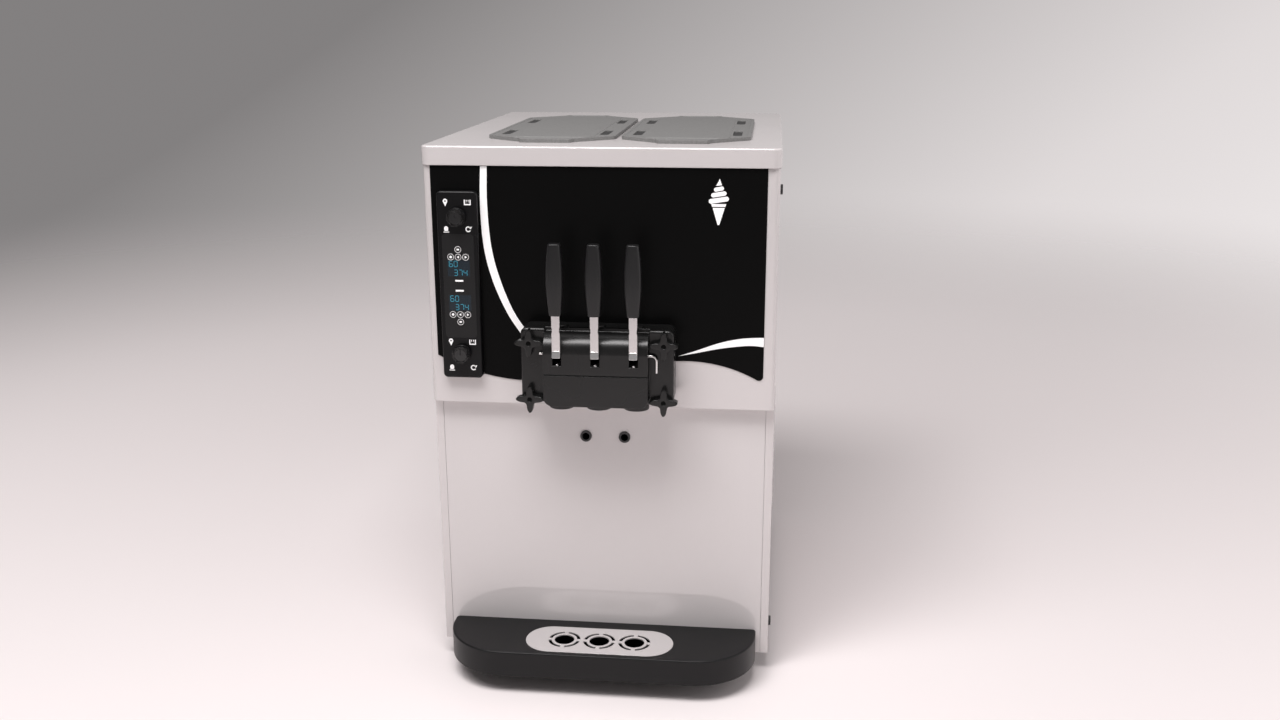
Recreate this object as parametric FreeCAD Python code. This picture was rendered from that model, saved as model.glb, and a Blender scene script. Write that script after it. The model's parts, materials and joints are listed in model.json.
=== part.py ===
"""Countertop twin-flavour soft-serve machine, modelled piece by piece in millimetres.

While the pieces are built, x = 0 is the machine's middle, y = 0 the front of the top cover and
z = 0 the counter. The last lines shift y so that the origin is the middle of the whole footprint.
The front faces -Y.
"""
import FreeCAD, Part
import math
import os

Vector = FreeCAD.Vector
X_AXIS = Vector(1, 0, 0)
Y_AXIS = Vector(0, 1, 0)
Z_AXIS = Vector(0, 0, 1)

# ---------------------------------------------------------------- driving dimensions
COVER_WIDTH = 520.0
COVER_DEPTH = 653.0
COVER_TOP = 820.0           # height of the cover's top above the counter
COVER_BAND = 28.0           # height of the cover's skirt
COVER_CORNER = 14.0
FOOT_HEIGHT = 30.0
SHEET = 1.5                 # sheet metal thickness
SEAT = 0.3                  # clearance between neighbouring pieces
RUN = 0.05                  # radial clearance of a shaft in its hole

UPPER_FACE_Y = 4.0          # front plane of the upper panel
LOWER_FACE_Y = 18.0         # front plane of the lower panel
UPPER_PANEL_HEIGHT = 385.0  # from the cover's top down to the upper panel's lower edge
PANEL_CORNER = 8.0
RETURN_DEPTH = 20.0         # how far the upper panel's sides fold back
OVERLAY_THICKNESS = 1.0
OVERLAY_INSETS = (11.4, 17.6)   # bare steel left of and right of the overlay

BARREL_PITCH = 111.2        # spacing of the two freezing cylinders
BARREL_DROP = 312.0         # from the cover's top down to the cylinders' axis
BARREL_RADIUS = 42.0
BARREL_WALL = 3.0
BARREL_LENGTH = 300.0
JACKET_THICKNESS = 8.7
INLET_Y = 150.0             # where the feed tubes enter hopper and cylinder

HOPPER_LENGTH = 320.0
HOPPER_WIDTH = 170.0
HOPPER_DEPTH = 150.0
HOPPER_CENTRES = (-87.0, 116.0)
HOPPER_CENTRE_Y = 281.0
HOPPER_SHEET = 1.2
LID_SIDE_LAP = 12.0         # how far a lid reaches past its hopper at the sides, corners and ends
LID_CORNER_LAP = 5.0
LID_END_LAP = 65.0
LID_THICKNESS = 5.5

HEAD_BACK = 2.5
WING_HALF = 112.0
WING_FRONT = -39.0
WING_TOP_DROP = 256.5
HEAD_BOTTOM_DROP = 368.5
BLOCK_HALF = 76.3
DRUM_RADIUS = 29.0          # rounded upper front of the door's middle block
DRUM_Y = -30.5
DRUM_DROP = 291.0
LEVER_PITCH = 55.6
PIVOT_Y = -44.0
PIVOT_DROP = 293.0
PIVOT_RADIUS = 2.0
PISTON_Y = -17.0
PISTON_RADIUS = 11.0
LEVER_SWEEP = 35.0          # degrees from shut to fully open
LEVER_WIDTH = 12.0
LEVER_THICKNESS = 3.0
GRIP_LENGTH = 104.0
GRIP_TOP_DROP = 128.0
STUD_X = 98.0
STUD_DROPS = (277.0, 361.5)
STUD_RADIUS = 4.0
NUT_REACH = 20.5
NUT_TIP_RADIUS = 2.6
NUT_FLANK_ANGLE = 18.0      # degrees between a lobe's flank and its middle line
NUT_THICKNESS = 12.0

MODULE_INSET = 51.4         # from the body's left side to the module's middle
MODULE_WIDTH = 60.0
MODULE_DROPS = (64.0, 344.0)
MODULE_FRONT = -8.0
KNOB_RADIUS = 13.5
KNOB_DROPS = (101.0, 305.6)
KEY_RADIUS = 5.2
KEY_PITCH = 11.1
KEY_ROW_DROPS = (160.0, 246.2)
KEY_TRAVEL = 1.0

TRAY_FRONT = -95.0
TRAY_INSET = 19.2           # from the body's side to the tray's side
TRAY_CORNER = 94.0
TRAY_HEIGHT = 40.5
GRILLE_LENGTH = 228.0
GRILLE_WIDTH = 80.0
GRILLE_THICKNESS = 2.0
DRAIN_DROP = 438.4
DRAIN_PITCH = 59.2
DRAIN_X = 3.7

SHAFT_RADIUS = 6.0
SEAL_RADIUS = 10.0
POST_LENGTH = 10.0          # gap between a cylinder's back wall and its gear motor
COMPRESSOR_X = -130.0
COMPRESSOR_Y = 430.0
COMPRESSOR_RADIUS = 78.0
CONDENSER_X = 95.0
CONDENSER_HALF = 125.0
CONDENSER_TOP = 330.0
CONDENSER_FRONT = 580.0
CONDENSER_DEPTH = 44.0
FAN_Z = 185.0
FAN_RADIUS = 104.0
MOTOR_RADIUS = 28.0
GLAND_X = -205.0
GLAND_Z = 95.0
GLAND_BARREL = 9.0
GLAND_REACH = 16.0          # how far the cord inlet stands out of the rear panel
FACE_THICKNESS = 1.6
DRAIN_RADIUS = 8.75

# ---------------------------------------------------------------- derived places
BODY_HALF = COVER_WIDTH / 2 - SHEET - SEAT
BODY_BACK = COVER_DEPTH - SHEET - SEAT
BODY_TOP = COVER_TOP - SHEET - SEAT
STEP_Z = COVER_TOP - UPPER_PANEL_HEIGHT
MODULE_X = MODULE_INSET - BODY_HALF
TRAY_HALF = BODY_HALF - TRAY_INSET
LID_HALF_WIDTH = HOPPER_WIDTH / 2 + LID_SIDE_LAP
LID_HALF_LENGTH = HOPPER_LENGTH / 2 + LID_END_LAP
LID_SHOULDER = HOPPER_LENGTH / 2 + LID_CORNER_LAP
BARREL_Z = COVER_TOP - BARREL_DROP
BARREL_X = (-BARREL_PITCH / 2, BARREL_PITCH / 2)
BARREL_FACE = HEAD_BACK + 1.0
BARREL_OUTER = BARREL_RADIUS + BARREL_WALL
BARREL_END = BARREL_FACE + BARREL_LENGTH
BULKHEAD_Y = 30.0
BULKHEAD_THICKNESS = 2.5
POST = 20.0                 # width of the frame's square posts
PAN_HALF = BODY_HALF - SHEET - SEAT
PAN_FLOOR = FOOT_HEIGHT + SHEET
PAN_FRONT = LOWER_FACE_Y + SHEET + SEAT
PAN_BACK = BODY_BACK - SHEET - SEAT
PAN_WALL = 22.0
SHELF_Z = STEP_Z - 20.0
SHELF_SHEET = 2.0
HOPPER_TOP = COVER_TOP - SHEET
HOPPER_FLOOR = HOPPER_TOP - HOPPER_DEPTH
NECK_RADIUS = 12.0
NECK_BORE = NECK_RADIUS - HOPPER_SHEET
LEVER_X = (-LEVER_PITCH, 0.0, LEVER_PITCH)
PIVOT_Z = COVER_TOP - PIVOT_DROP
TAIL_REACH = PISTON_Y - PIVOT_Y
TAIL_RADIUS = 6.0
SLOT_HALF = LEVER_WIDTH / 2 + SEAT
STRIP_Y = -62.0
PISTON_TOP = COVER_TOP - 254.0
PISTON_BOTTOM = COVER_TOP - 343.0
SPOUT_BOTTOM = COVER_TOP - 380.5
SPOUT_RADIUS = 19.0
HEAD_BOTTOM = COVER_TOP - HEAD_BOTTOM_DROP
WING_TOP = COVER_TOP - WING_TOP_DROP
DRUM_Z = COVER_TOP - DRUM_DROP
STUD_PLACES = [(side * STUD_X, COVER_TOP - drop) for drop in STUD_DROPS for side in (-1, 1)]
MODULE_TOP = COVER_TOP - MODULE_DROPS[0]
MODULE_BOTTOM = COVER_TOP - MODULE_DROPS[1]
MODULE_BOX_HALF = MODULE_WIDTH / 2 - 6.0
MODULE_BOX_BACK = 26.0
KNOB_Z = [COVER_TOP - drop for drop in KNOB_DROPS]
TRAY_BASE = FOOT_HEIGHT
TRAY_TOP = TRAY_BASE + TRAY_HEIGHT
TRAY_BACK = LOWER_FACE_Y - SEAT
GRILLE_Y = -46.0
HOLE_PITCH = 54.3
RUNNER_X = 160.0
RUNNER_WIDTH = 20.0
RUNNER_HEIGHT = 6.0
RUNNER_Z = PAN_FLOOR + SEAT
RUNNER_BACK = LOWER_FACE_Y + 60.0
CONDENSER_BOTTOM = PAN_FLOOR
CONDENSER_BACK = CONDENSER_FRONT + CONDENSER_DEPTH
SHROUD_FRONT = CONDENSER_FRONT - 24.0
DRAIN_Z = COVER_TOP - DRAIN_DROP
DRAIN_PLACES = (DRAIN_X - DRAIN_PITCH / 2, DRAIN_X + DRAIN_PITCH / 2)
FOOTPRINT_MIDDLE_Y = (TRAY_FRONT + BODY_BACK + GLAND_REACH) / 2
SCREW_Y = 70.0
SCREW_Z = (COVER_TOP - 66.0, FOOT_HEIGHT + 30.0)


# ---------------------------------------------------------------- small builders
def box(x0, y0, z0, x1, y1, z1):
    return Part.makeBox(x1 - x0, y1 - y0, z1 - z0, Vector(x0, y0, z0))


def rod(x, y, z, radius, length, axis=Y_AXIS):
    return Part.makeCylinder(radius, length, Vector(x, y, z), axis)


def ring(x, y, z, outer, inner, length, axis=Y_AXIS):
    return rod(x, y, z, outer, length, axis).cut(rod(x, y, z, inner, length, axis))


def fuse(shapes):
    """One solid from pieces that overlap or touch."""
    joined = shapes[0].multiFuse(shapes[1:])
    return joined.removeSplitter()


def cut(shape, tools):
    return shape.cut(Part.makeCompound(tools)) if tools else shape


def group(shapes):
    return Part.makeCompound(shapes)


def rounded_wire(corners, place):
    """Closed wire whose corners (u, v, radius) are rounded by tangent arcs; place maps u, v to 3D."""
    arcs = []
    for index, (u, v, radius) in enumerate(corners):
        corner = Vector(u, v, 0)
        before = Vector(*corners[index - 1][:2], 0).sub(corner).normalize()
        after = Vector(*corners[(index + 1) % len(corners)][:2], 0).sub(corner).normalize()
        half = before.getAngle(after) / 2
        reach = radius / math.tan(half)
        middle = (before + after).normalize() * (radius / math.sin(half) - radius) if radius else Vector()
        arcs.append([place(p.x, p.y) for p in (corner + before * reach, corner + middle, corner + after * reach)])
    edges = []
    for index, (start, middle, end) in enumerate(arcs):
        if start.distanceToPoint(end) > 1e-6:
            edges.append(Part.Arc(start, middle, end).toShape())
        following = arcs[(index + 1) % len(arcs)][0]
        if end.distanceToPoint(following) > 1e-6:
            edges.append(Part.LineSegment(end, following).toShape())
    return Part.Wire(edges)


def plate_xz(corners, y, depth):
    """Plate facing -Y, from y to y + depth."""
    wire = rounded_wire(corners, lambda u, v: Vector(u, y, v))
    return Part.Face(wire).extrude(Vector(0, depth, 0))


def plate_xy(corners, z, height):
    wire = rounded_wire(corners, lambda u, v: Vector(u, v, z))
    return Part.Face(wire).extrude(Vector(0, 0, height))


def plate_yz(corners, x, width):
    wire = rounded_wire(corners, lambda u, v: Vector(x, u, v))
    return Part.Face(wire).extrude(Vector(width, 0, 0))


def rectangle(u0, v0, u1, v1, radius):
    return [(u0, v0, radius), (u1, v0, radius), (u1, v1, radius), (u0, v1, radius)]


def louvres(centre_u, width, z0, z1, pitch, make):
    """Row of slots one above another; make(u0, u1, z) gives one cutter."""
    count = int((z1 - z0) // pitch)
    return [make(centre_u - width / 2, centre_u + width / 2, z0 + pitch * step) for step in range(count)]


# ---------------------------------------------------------------- body
def base_pan():
    outer = box(-PAN_HALF, PAN_FRONT, FOOT_HEIGHT, PAN_HALF, PAN_BACK, FOOT_HEIGHT + PAN_WALL)
    inner = box(-PAN_HALF + SHEET, PAN_FRONT + SHEET, PAN_FLOOR, PAN_HALF - SHEET, PAN_BACK - SHEET, 100)
    holes = [rod(x, y, 0, 4.3, 60, Z_AXIS) for x, y in foot_places()]
    holes += [box(-40, y, 0, 200, y + 8, 60) for y in range(260, 420, 20)]
    slots = [runner_slot(x) for x in (-RUNNER_X, RUNNER_X)]
    guides = []
    for x in (-RUNNER_X, RUNNER_X):
        half = RUNNER_WIDTH / 2 + SEAT
        top = RUNNER_Z + RUNNER_HEIGHT + SEAT
        channel = box(x - half - 2, PAN_FRONT + 4, PAN_FLOOR, x + half + 2, RUNNER_BACK + 10, top + 2)
        hollow = box(x - half, PAN_FRONT, PAN_FLOOR, x + half, RUNNER_BACK + 5, top)
        guides.append(channel.cut(hollow))
    return fuse([cut(outer, [inner] + holes + slots)] + guides)


def runner_slot(x):
    half = RUNNER_WIDTH / 2 + SEAT
    return box(x - half, LOWER_FACE_Y - 5, PAN_FLOOR, x + half, PAN_FRONT + 5, RUNNER_Z + RUNNER_HEIGHT + SEAT)


def foot_places():
    return [(x, y) for x in (-200, 200) for y in (70, 555)]


def levelling_feet():
    feet = []
    for x, y in foot_places():
        pad = Part.makeCone(19, 15, FOOT_HEIGHT - 6, Vector(x, y, 0))
        collar = rod(x, y, FOOT_HEIGHT - 6, 9, 6, Z_AXIS)
        stud = rod(x, y, FOOT_HEIGHT - 6, 4, 26, Z_AXIS)
        nut = rod(x, y, PAN_FLOOR, 7, 5, Z_AXIS)
        feet.append(fuse([pad, collar, stud, nut]))
    return group(feet)


def chassis_frame():
    """Posts, rails, shelf and bulkhead as cut lengths and sheets, with the four studs that hold the head."""
    side = PAN_HALF - SHEET - SEAT
    front = PAN_FRONT + SHEET + SEAT
    back = PAN_BACK - SHEET - SEAT
    top = HOPPER_TOP - SHEET - 2
    near, far = front + 4, back - POST
    columns = (-side, side - POST)
    posts = [box(x, y, PAN_FLOOR, x + POST, y + POST, top) for x in columns for y in (near, far)]
    rails = [box(x, near + POST, z - POST, x + POST, far, z) for x in columns for z in (top, SHELF_Z - SHELF_SHEET)]
    rails += [box(POST - side, y, top - POST, side - POST, y + POST, top) for y in (near, far)]
    shelf = cut(box(-side, near, SHELF_Z - SHELF_SHEET, side, back, SHELF_Z),
                posts + [box(-190, 300, SHELF_Z - 5, -130, 360, SHELF_Z + 5)])
    bulkhead = box(POST - side, BULKHEAD_Y, SHELF_Z, side - POST, BULKHEAD_Y + BULKHEAD_THICKNESS, top - POST)
    openings = [rod(x, BULKHEAD_Y - 5, BARREL_Z, BARREL_OUTER + SEAT, 20) for x in BARREL_X]
    room = box(MODULE_X - MODULE_BOX_HALF - 2, front, MODULE_BOTTOM, MODULE_X + MODULE_BOX_HALF + 2, 60, MODULE_TOP)
    bores = [rod(x, SCREW_Y, z, 2.6, POST, X_AXIS) for x in columns for z in SCREW_Z]
    start = WING_FRONT - NUT_THICKNESS + 3
    studs = [rod(x, start, z, STUD_RADIUS, BULKHEAD_Y - start) for x, z in STUD_PLACES]
    members = [cut(piece, [room] + bores) for piece in posts + rails]
    return group(members + [shelf, cut(bulkhead, openings + [room])] + studs)


def outside_cover_room():
    """Everything at skirt height that lies outside the room under the cover, to trim the panels' corners."""
    low = COVER_TOP - COVER_BAND - SEAT
    room = plate_xy(cover_outline(BODY_HALF, SHEET + SEAT, BODY_BACK, COVER_CORNER - SHEET - SEAT), low - 5, 60)
    return box(-400, -100, low, 400, 900, COVER_TOP + 20).cut(room)


def side_panel(side):
    """Side sheet; below the upper panel it folds round to the front as a narrow strip."""
    outer = BODY_HALF
    upper = box(outer - SHEET, UPPER_FACE_Y + RETURN_DEPTH + SEAT, STEP_Z, outer, PAN_BACK + SEAT, BODY_TOP)
    lower = box(outer - SHEET, LOWER_FACE_Y, FOOT_HEIGHT, outer, PAN_BACK + SEAT, STEP_Z)
    strip = box(outer - 12, LOWER_FACE_Y, FOOT_HEIGHT, outer, LOWER_FACE_Y + SHEET, STEP_Z)
    holes = [rod(outer - 5, SCREW_Y, z, 2.8, 10, X_AXIS) for z in SCREW_Z]
    holes += louvres(500, 140, 110, 330, 18, lambda y0, y1, z: box(outer - 5, y0, z, outer + 5, y1, z + 6))
    panel = cut(fuse([upper, lower, strip]), holes + [outside_cover_room()])
    return panel if side > 0 else panel.mirror(Vector(), X_AXIS)


def panel_screws():
    """Dark knurled heads with their shanks, two on each side."""
    screws = []
    for side in (-1, 1):
        for z in SCREW_Z:
            head = rod(BODY_HALF, SCREW_Y, z, 7.5, 4, X_AXIS)
            shank = rod(BODY_HALF - 20, SCREW_Y, z, 2.5, 21, X_AXIS)
            grooves = [rod(BODY_HALF, SCREW_Y + 8.1 * math.cos(a), z + 8.1 * math.sin(a), 1.0, 5, X_AXIS)
                       for a in [math.radians(30 * step) for step in range(12)]]
            screw = cut(fuse([head, shank]), grooves)
            screws.append(screw if side > 0 else screw.mirror(Vector(), X_AXIS))
    return group(screws)


def rear_panel():
    sheet = box(-BODY_HALF, PAN_BACK + 2 * SEAT, FOOT_HEIGHT, BODY_HALF, BODY_BACK, BODY_TOP)
    holes = louvres(CONDENSER_X, 240, 70, 320, 16, rear_slot) + louvres(0, 300, 560, 700, 18, rear_slot)
    holes.append(rod(GLAND_X, BODY_BACK - 10, GLAND_Z, GLAND_BARREL + SEAT, 20))
    return cut(sheet, holes + [outside_cover_room()])


def rear_slot(x0, x1, z):
    return box(x0, BODY_BACK - 10, z, x1, BODY_BACK + 10, z + 6)


def upper_front_panel():
    outer = BODY_HALF
    back = UPPER_FACE_Y + RETURN_DEPTH
    shell = plate_xy([(-outer, back, 0), (-outer, UPPER_FACE_Y, PANEL_CORNER), (outer, UPPER_FACE_Y, PANEL_CORNER),
                      (outer, back, 0)], STEP_Z, BODY_TOP - STEP_Z)
    inner = outer - SHEET
    hollow = plate_xy([(-inner, back + 5, 0), (-inner, UPPER_FACE_Y + SHEET, PANEL_CORNER - SHEET),
                       (inner, UPPER_FACE_Y + SHEET, PANEL_CORNER - SHEET), (inner, back + 5, 0)],
                      STEP_Z + SHEET, BODY_TOP)
    clear_side = box(-PAN_HALF, LOWER_FACE_Y - SEAT, STEP_Z - 5, PAN_HALF, back + 5, STEP_Z + SHEET)
    return cut(shell, [hollow, clear_side, outside_cover_room()] + front_openings())


def front_openings():
    """Holes in the front sheets for the cylinders, the head's studs and the control module."""
    holes = [rod(x, -10, BARREL_Z, BARREL_OUTER + 1.3, 60) for x in BARREL_X]
    holes += [rod(x, -10, z, STUD_RADIUS + 0.2, 60) for x, z in STUD_PLACES]
    half = MODULE_BOX_HALF + SEAT
    holes.append(box(MODULE_X - half, -10, MODULE_BOTTOM + 5, MODULE_X + half, 60, MODULE_TOP - 5))
    return holes


def lower_front_panel():
    half = BODY_HALF - 12 - SEAT
    sheet = box(-half, LOWER_FACE_Y, FOOT_HEIGHT, half, LOWER_FACE_Y + SHEET, STEP_Z - SEAT)
    holes = [rod(x, 0, DRAIN_Z, DRAIN_RADIUS - 1.8, 60) for x in DRAIN_PLACES]
    holes += [runner_slot(x) for x in (-RUNNER_X, RUNNER_X)]
    return cut(sheet, holes)


def arc_edge(start, through, end, y):
    points = [Vector(u, y, COVER_TOP - drop) for u, drop in (start, through, end)]
    return Part.Arc(*points).toShape()


def line_edge(start, end, y):
    points = [Vector(u, y, COVER_TOP - drop) for u, drop in (start, end)]
    return Part.LineSegment(*points).toShape()


def front_graphic_panel():
    """Printed overlay: straight sides, a hollow lower edge on the left and a swept wing on the right."""
    y = UPPER_FACE_Y - OVERLAY_THICKNESS
    left, right, top = OVERLAY_INSETS[0] - BODY_HALF, BODY_HALF - OVERLAY_INSETS[1], COVER_BAND - 3
    wing = WING_HALF + 4
    edges = [line_edge((left, top), (right, top), y),
             line_edge((right, top), (right, 333.5), y),
             arc_edge((right, 333.5), (right - 4.4, 338.9), (right - 10.5, 337.7), y),
             arc_edge((right - 10.5, 337.7), (right - 61.8, 317.9), (wing, 312.3), y),
             line_edge((wing, 312.3), (60.0, 312.3), y),
             line_edge((60.0, 312.3), (-60.0, 350.0), y),
             line_edge((-60.0, 350.0), (-wing, 348.3), y),
             arc_edge((-wing, 348.3), (left + 68.1, 339.2), (left, 311.7), y),
             line_edge((left, 311.7), (left, top), y)]
    sheet = Part.Face(Part.Wire(edges)).extrude(Vector(0, OVERLAY_THICKNESS, 0))
    return cut(sheet, front_openings())


def cover_outline(half, front, back, radius):
    return [(-half, front, radius), (half, front, radius), (half, back, radius), (-half, back, radius)]


def top_cover():
    """Folded steel cover with a skirt all round and an opening over each hopper."""
    bottom = COVER_TOP - COVER_BAND
    half = COVER_WIDTH / 2
    shell = plate_xy(cover_outline(half, 0, COVER_DEPTH, COVER_CORNER), bottom, COVER_BAND)
    rim = [edge for edge in shell.Edges if edge.BoundBox.ZMin > COVER_TOP - 0.01]
    shell = shell.makeFillet(SHEET * 2, rim)
    hollow = plate_xy(cover_outline(half - SHEET, SHEET, COVER_DEPTH - SHEET, COVER_CORNER - SHEET),
                      bottom, COVER_BAND - SHEET)
    openings = [plate_xy(hopper_outline(x, 0), COVER_TOP - 5, 10) for x in HOPPER_CENTRES]
    return cut(shell, [hollow] + openings)


# ---------------------------------------------------------------- mix side
def hopper_outline(x, inset):
    half_x = HOPPER_WIDTH / 2 - inset
    half_y = HOPPER_LENGTH / 2 - inset
    return rectangle(x - half_x, HOPPER_CENTRE_Y - half_y, x + half_x, HOPPER_CENTRE_Y + half_y, 25 - inset)


def hoppers():
    return group([hopper(index) for index in range(2)])


def hopper(index):
    """Open-topped stainless pan with a rim under the cover and an outlet neck over its cylinder."""
    x = HOPPER_CENTRES[index]
    barrel_x = BARREL_X[index]
    body = plate_xy(hopper_outline(x, 0), HOPPER_FLOOR, HOPPER_DEPTH)
    flange = plate_xy(hopper_outline(x, -8), HOPPER_TOP - HOPPER_SHEET, HOPPER_SHEET)
    neck_bottom = BARREL_Z + BARREL_OUTER + 3
    neck = rod(barrel_x, INLET_Y, neck_bottom, NECK_RADIUS, HOPPER_FLOOR - neck_bottom + 1, Z_AXIS)
    inside = plate_xy(hopper_outline(x, HOPPER_SHEET), HOPPER_FLOOR + HOPPER_SHEET, HOPPER_DEPTH)
    bore = rod(barrel_x, INLET_Y, neck_bottom - 5, NECK_BORE, HOPPER_DEPTH, Z_AXIS)
    return cut(fuse([body, flange, neck]), [inside, bore])


def lid_outline(x, shrink):
    """Long eight-sided lid with a shallow step in the middle of each end."""
    half = LID_HALF_WIDTH - shrink
    shoulder = LID_SHOULDER - shrink / 2
    tab = LID_HALF_LENGTH - shrink
    tab_side = tab - 12.0
    quarter = [(half, shoulder, 14), (half - 56, tab_side, 4), (half - 60, tab, 4)]
    left_back = [(-u, v, r) for u, v, r in reversed(quarter)]
    left_front = [(-u, -v, r) for u, v, r in quarter]
    right_front = [(u, -v, r) for u, v, r in reversed(quarter)]
    return [(x + u, HOPPER_CENTRE_Y + v, r) for u, v, r in quarter + left_back + left_front + right_front]


def hopper_lid(index):
    """Lid with four finger pockets, a raised middle and a skirt that drops into the hopper."""
    x = HOPPER_CENTRES[index]
    plate = plate_xy(lid_outline(x, 0), COVER_TOP, LID_THICKNESS)
    skirt_outer = plate_xy(hopper_outline(x, 3.5), COVER_TOP - 9, 9.5)
    skirt_inner = plate_xy(hopper_outline(x, 6.5), COVER_TOP - 10, 10)
    pockets = []
    for side in (-1, 1):
        for end in (-1, 1):
            u = x + side * (LID_HALF_WIDTH - 21)
            v = HOPPER_CENTRE_Y + end * (LID_SHOULDER - 62)
            pockets.append(plate_xy(rectangle(u - 7, v - 40, u + 7, v + 40, 6.5), COVER_TOP + 2, 10))
    field = plate_xy(lid_outline(x, 5), COVER_TOP + LID_THICKNESS - 1.0, 5)
    half_x, half_y = LID_HALF_WIDTH - 31, LID_HALF_LENGTH - 35
    middle = plate_xy(rectangle(x - half_x, HOPPER_CENTRE_Y - half_y, x + half_x, HOPPER_CENTRE_Y + half_y, 20),
                      COVER_TOP + LID_THICKNESS - 2, 2)
    lid = cut(fuse([plate, skirt_outer]), [skirt_inner, field] + pockets)
    return fuse([lid, middle])


def feed_tube(index):
    """Air and mix tube that stands in the hopper's outlet neck and turns to set the flow."""
    x = BARREL_X[index]
    low = BARREL_Z + BARREL_OUTER + 10
    floor = HOPPER_FLOOR + HOPPER_SHEET
    body = rod(x, INLET_Y, low, NECK_BORE - RUN, floor + SEAT - low, Z_AXIS)
    shoulder = rod(x, INLET_Y, floor + SEAT, NECK_RADIUS + 4, 4, Z_AXIS)
    stem = rod(x, INLET_Y, floor + 4, 7, HOPPER_TOP - 25 - floor, Z_AXIS)
    handle = rod(x - 18, INLET_Y, HOPPER_TOP - 30, 3, 36, X_AXIS)
    bore = rod(x, INLET_Y, low - 1, 5, 400, Z_AXIS)
    inlet = rod(x - 20, INLET_Y, floor + 12, 2.5, 40, X_AXIS)
    return cut(fuse([body, shoulder, stem, handle]), [bore, inlet])


# ---------------------------------------------------------------- freezing side
def freezing_cylinders():
    cylinders = []
    for x in BARREL_X:
        tube = ring(x, BARREL_FACE, BARREL_Z, BARREL_OUTER, BARREL_RADIUS, BARREL_LENGTH)
        back = rod(x, BARREL_END - 4, BARREL_Z, BARREL_OUTER, 4)
        flange_y = BULKHEAD_Y + BULKHEAD_THICKNESS
        flange = ring(x, flange_y, BARREL_Z, BARREL_OUTER + 6, BARREL_RADIUS + 1, 3)
        boss_z = BARREL_Z + BARREL_RADIUS + 1
        boss = rod(x, INLET_Y, boss_z, NECK_RADIUS + 4, 16, Z_AXIS)
        posts = [rod(x + u, BARREL_END - 1, BARREL_Z + v, 4, 1 + POST_LENGTH) for u in (-28, 28) for v in (-28, 28)]
        solid = fuse([tube, back, flange, boss] + posts)
        holes = [rod(x, BARREL_END - 10, BARREL_Z, SEAL_RADIUS, 20),
                 rod(x, INLET_Y, BARREL_Z, NECK_BORE, BARREL_OUTER + 3, Z_AXIS),
                 rod(x, INLET_Y, BARREL_Z + BARREL_OUTER + 3, NECK_RADIUS, 30, Z_AXIS),
                 rod(x, BARREL_FACE - 1, BARREL_Z, BARREL_RADIUS, BARREL_LENGTH - 3)]
        cylinders.append(cut(solid, holes))
    return group(cylinders)


def cylinder_insulation():
    jackets = []
    start = BULKHEAD_Y + BULKHEAD_THICKNESS + 3 + SEAT
    for x in BARREL_X:
        jacket = ring(x, start, BARREL_Z, BARREL_OUTER + JACKET_THICKNESS, BARREL_OUTER + 0.1,
                      BARREL_END - 8 - start)
        jackets.append(jacket.cut(rod(x, INLET_Y, BARREL_Z, NECK_RADIUS + 4 + SEAT, 100, Z_AXIS)))
    return group(jackets)


def beater(index):
    """Drive shaft with two helical scraper ribbons held off it by radial arms."""
    x = BARREL_X[index]
    start = 16.0
    length = 275.0
    ribbon_radius = BARREL_RADIUS - 0.8
    ribbon_width = 7.0
    ribbon_thickness = 3.0
    pitch = 150.0
    pieces = [rod(x, start, BARREL_Z, SHAFT_RADIUS, BARREL_END + POST_LENGTH + 20 - start)]
    for phase in (0, 180):
        helix = Part.makeHelix(pitch, length - 6, ribbon_radius - ribbon_width / 2)
        corners = [(-ribbon_width / 2, -ribbon_thickness / 2), (ribbon_width / 2, -ribbon_thickness / 2),
                   (ribbon_width / 2, ribbon_thickness / 2), (-ribbon_width / 2, ribbon_thickness / 2)]
        centre = ribbon_radius - ribbon_width / 2
        points = [Vector(centre + u, 0, v) for u, v in corners]
        profile = Part.makePolygon(points + points[:1])
        ribbon = Part.Wire(helix.Edges).makePipeShell([profile], True, True)
        ribbon.rotate(Vector(), Z_AXIS, phase)
        ribbon.rotate(Vector(), X_AXIS, -90)
        ribbon.translate(Vector(x, start + 3, BARREL_Z))
        pieces.append(ribbon)
        for turn in range(5):
            along = 3 + (length - 6) * turn / 4
            along = min(max(along, 5), length - 8)
            angle = math.radians(phase + 360 * (along - 3) / pitch)
            arm = Part.makeCylinder(2.5, ribbon_radius - ribbon_width / 2, Vector(x, start + along, BARREL_Z),
                                    Vector(math.cos(angle), 0, -math.sin(angle)))
            pieces.append(arm)
    return fuse(pieces)


def cylinder_seals():
    """Flat rings between head and cylinders, and shaft seals in the cylinders' back walls."""
    seals = []
    for x in BARREL_X:
        seals.append(ring(x, HEAD_BACK, BARREL_Z, BARREL_OUTER, BARREL_RADIUS + 0.6, BARREL_FACE - HEAD_BACK))
        seals.append(ring(x, BARREL_END - 5, BARREL_Z, SEAL_RADIUS, SHAFT_RADIUS + RUN, 6))
    return group(seals)


def gear_motors():
    motors = []
    start = BARREL_END + POST_LENGTH
    for x in BARREL_X:
        gearbox = box(x - 45, start, BARREL_Z - 45, x + 45, start + 60, BARREL_Z + 45)
        uprights = [edge for edge in gearbox.Edges if abs(edge.Length - 60) < 0.01]
        gearbox = gearbox.makeFillet(8, uprights)
        motor = rod(x, start + 59, BARREL_Z, 48, 120)
        ribs = [ring(x, start + 75 + 14 * step, BARREL_Z, 51, 47, 4) for step in range(6)]
        cap = rod(x, start + 178, BARREL_Z, 42, 10)
        solid = fuse([gearbox, motor, cap] + ribs)
        motors.append(solid.cut(rod(x, start - 1, BARREL_Z, SHAFT_RADIUS + RUN, 24)))
    return group(motors)


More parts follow.
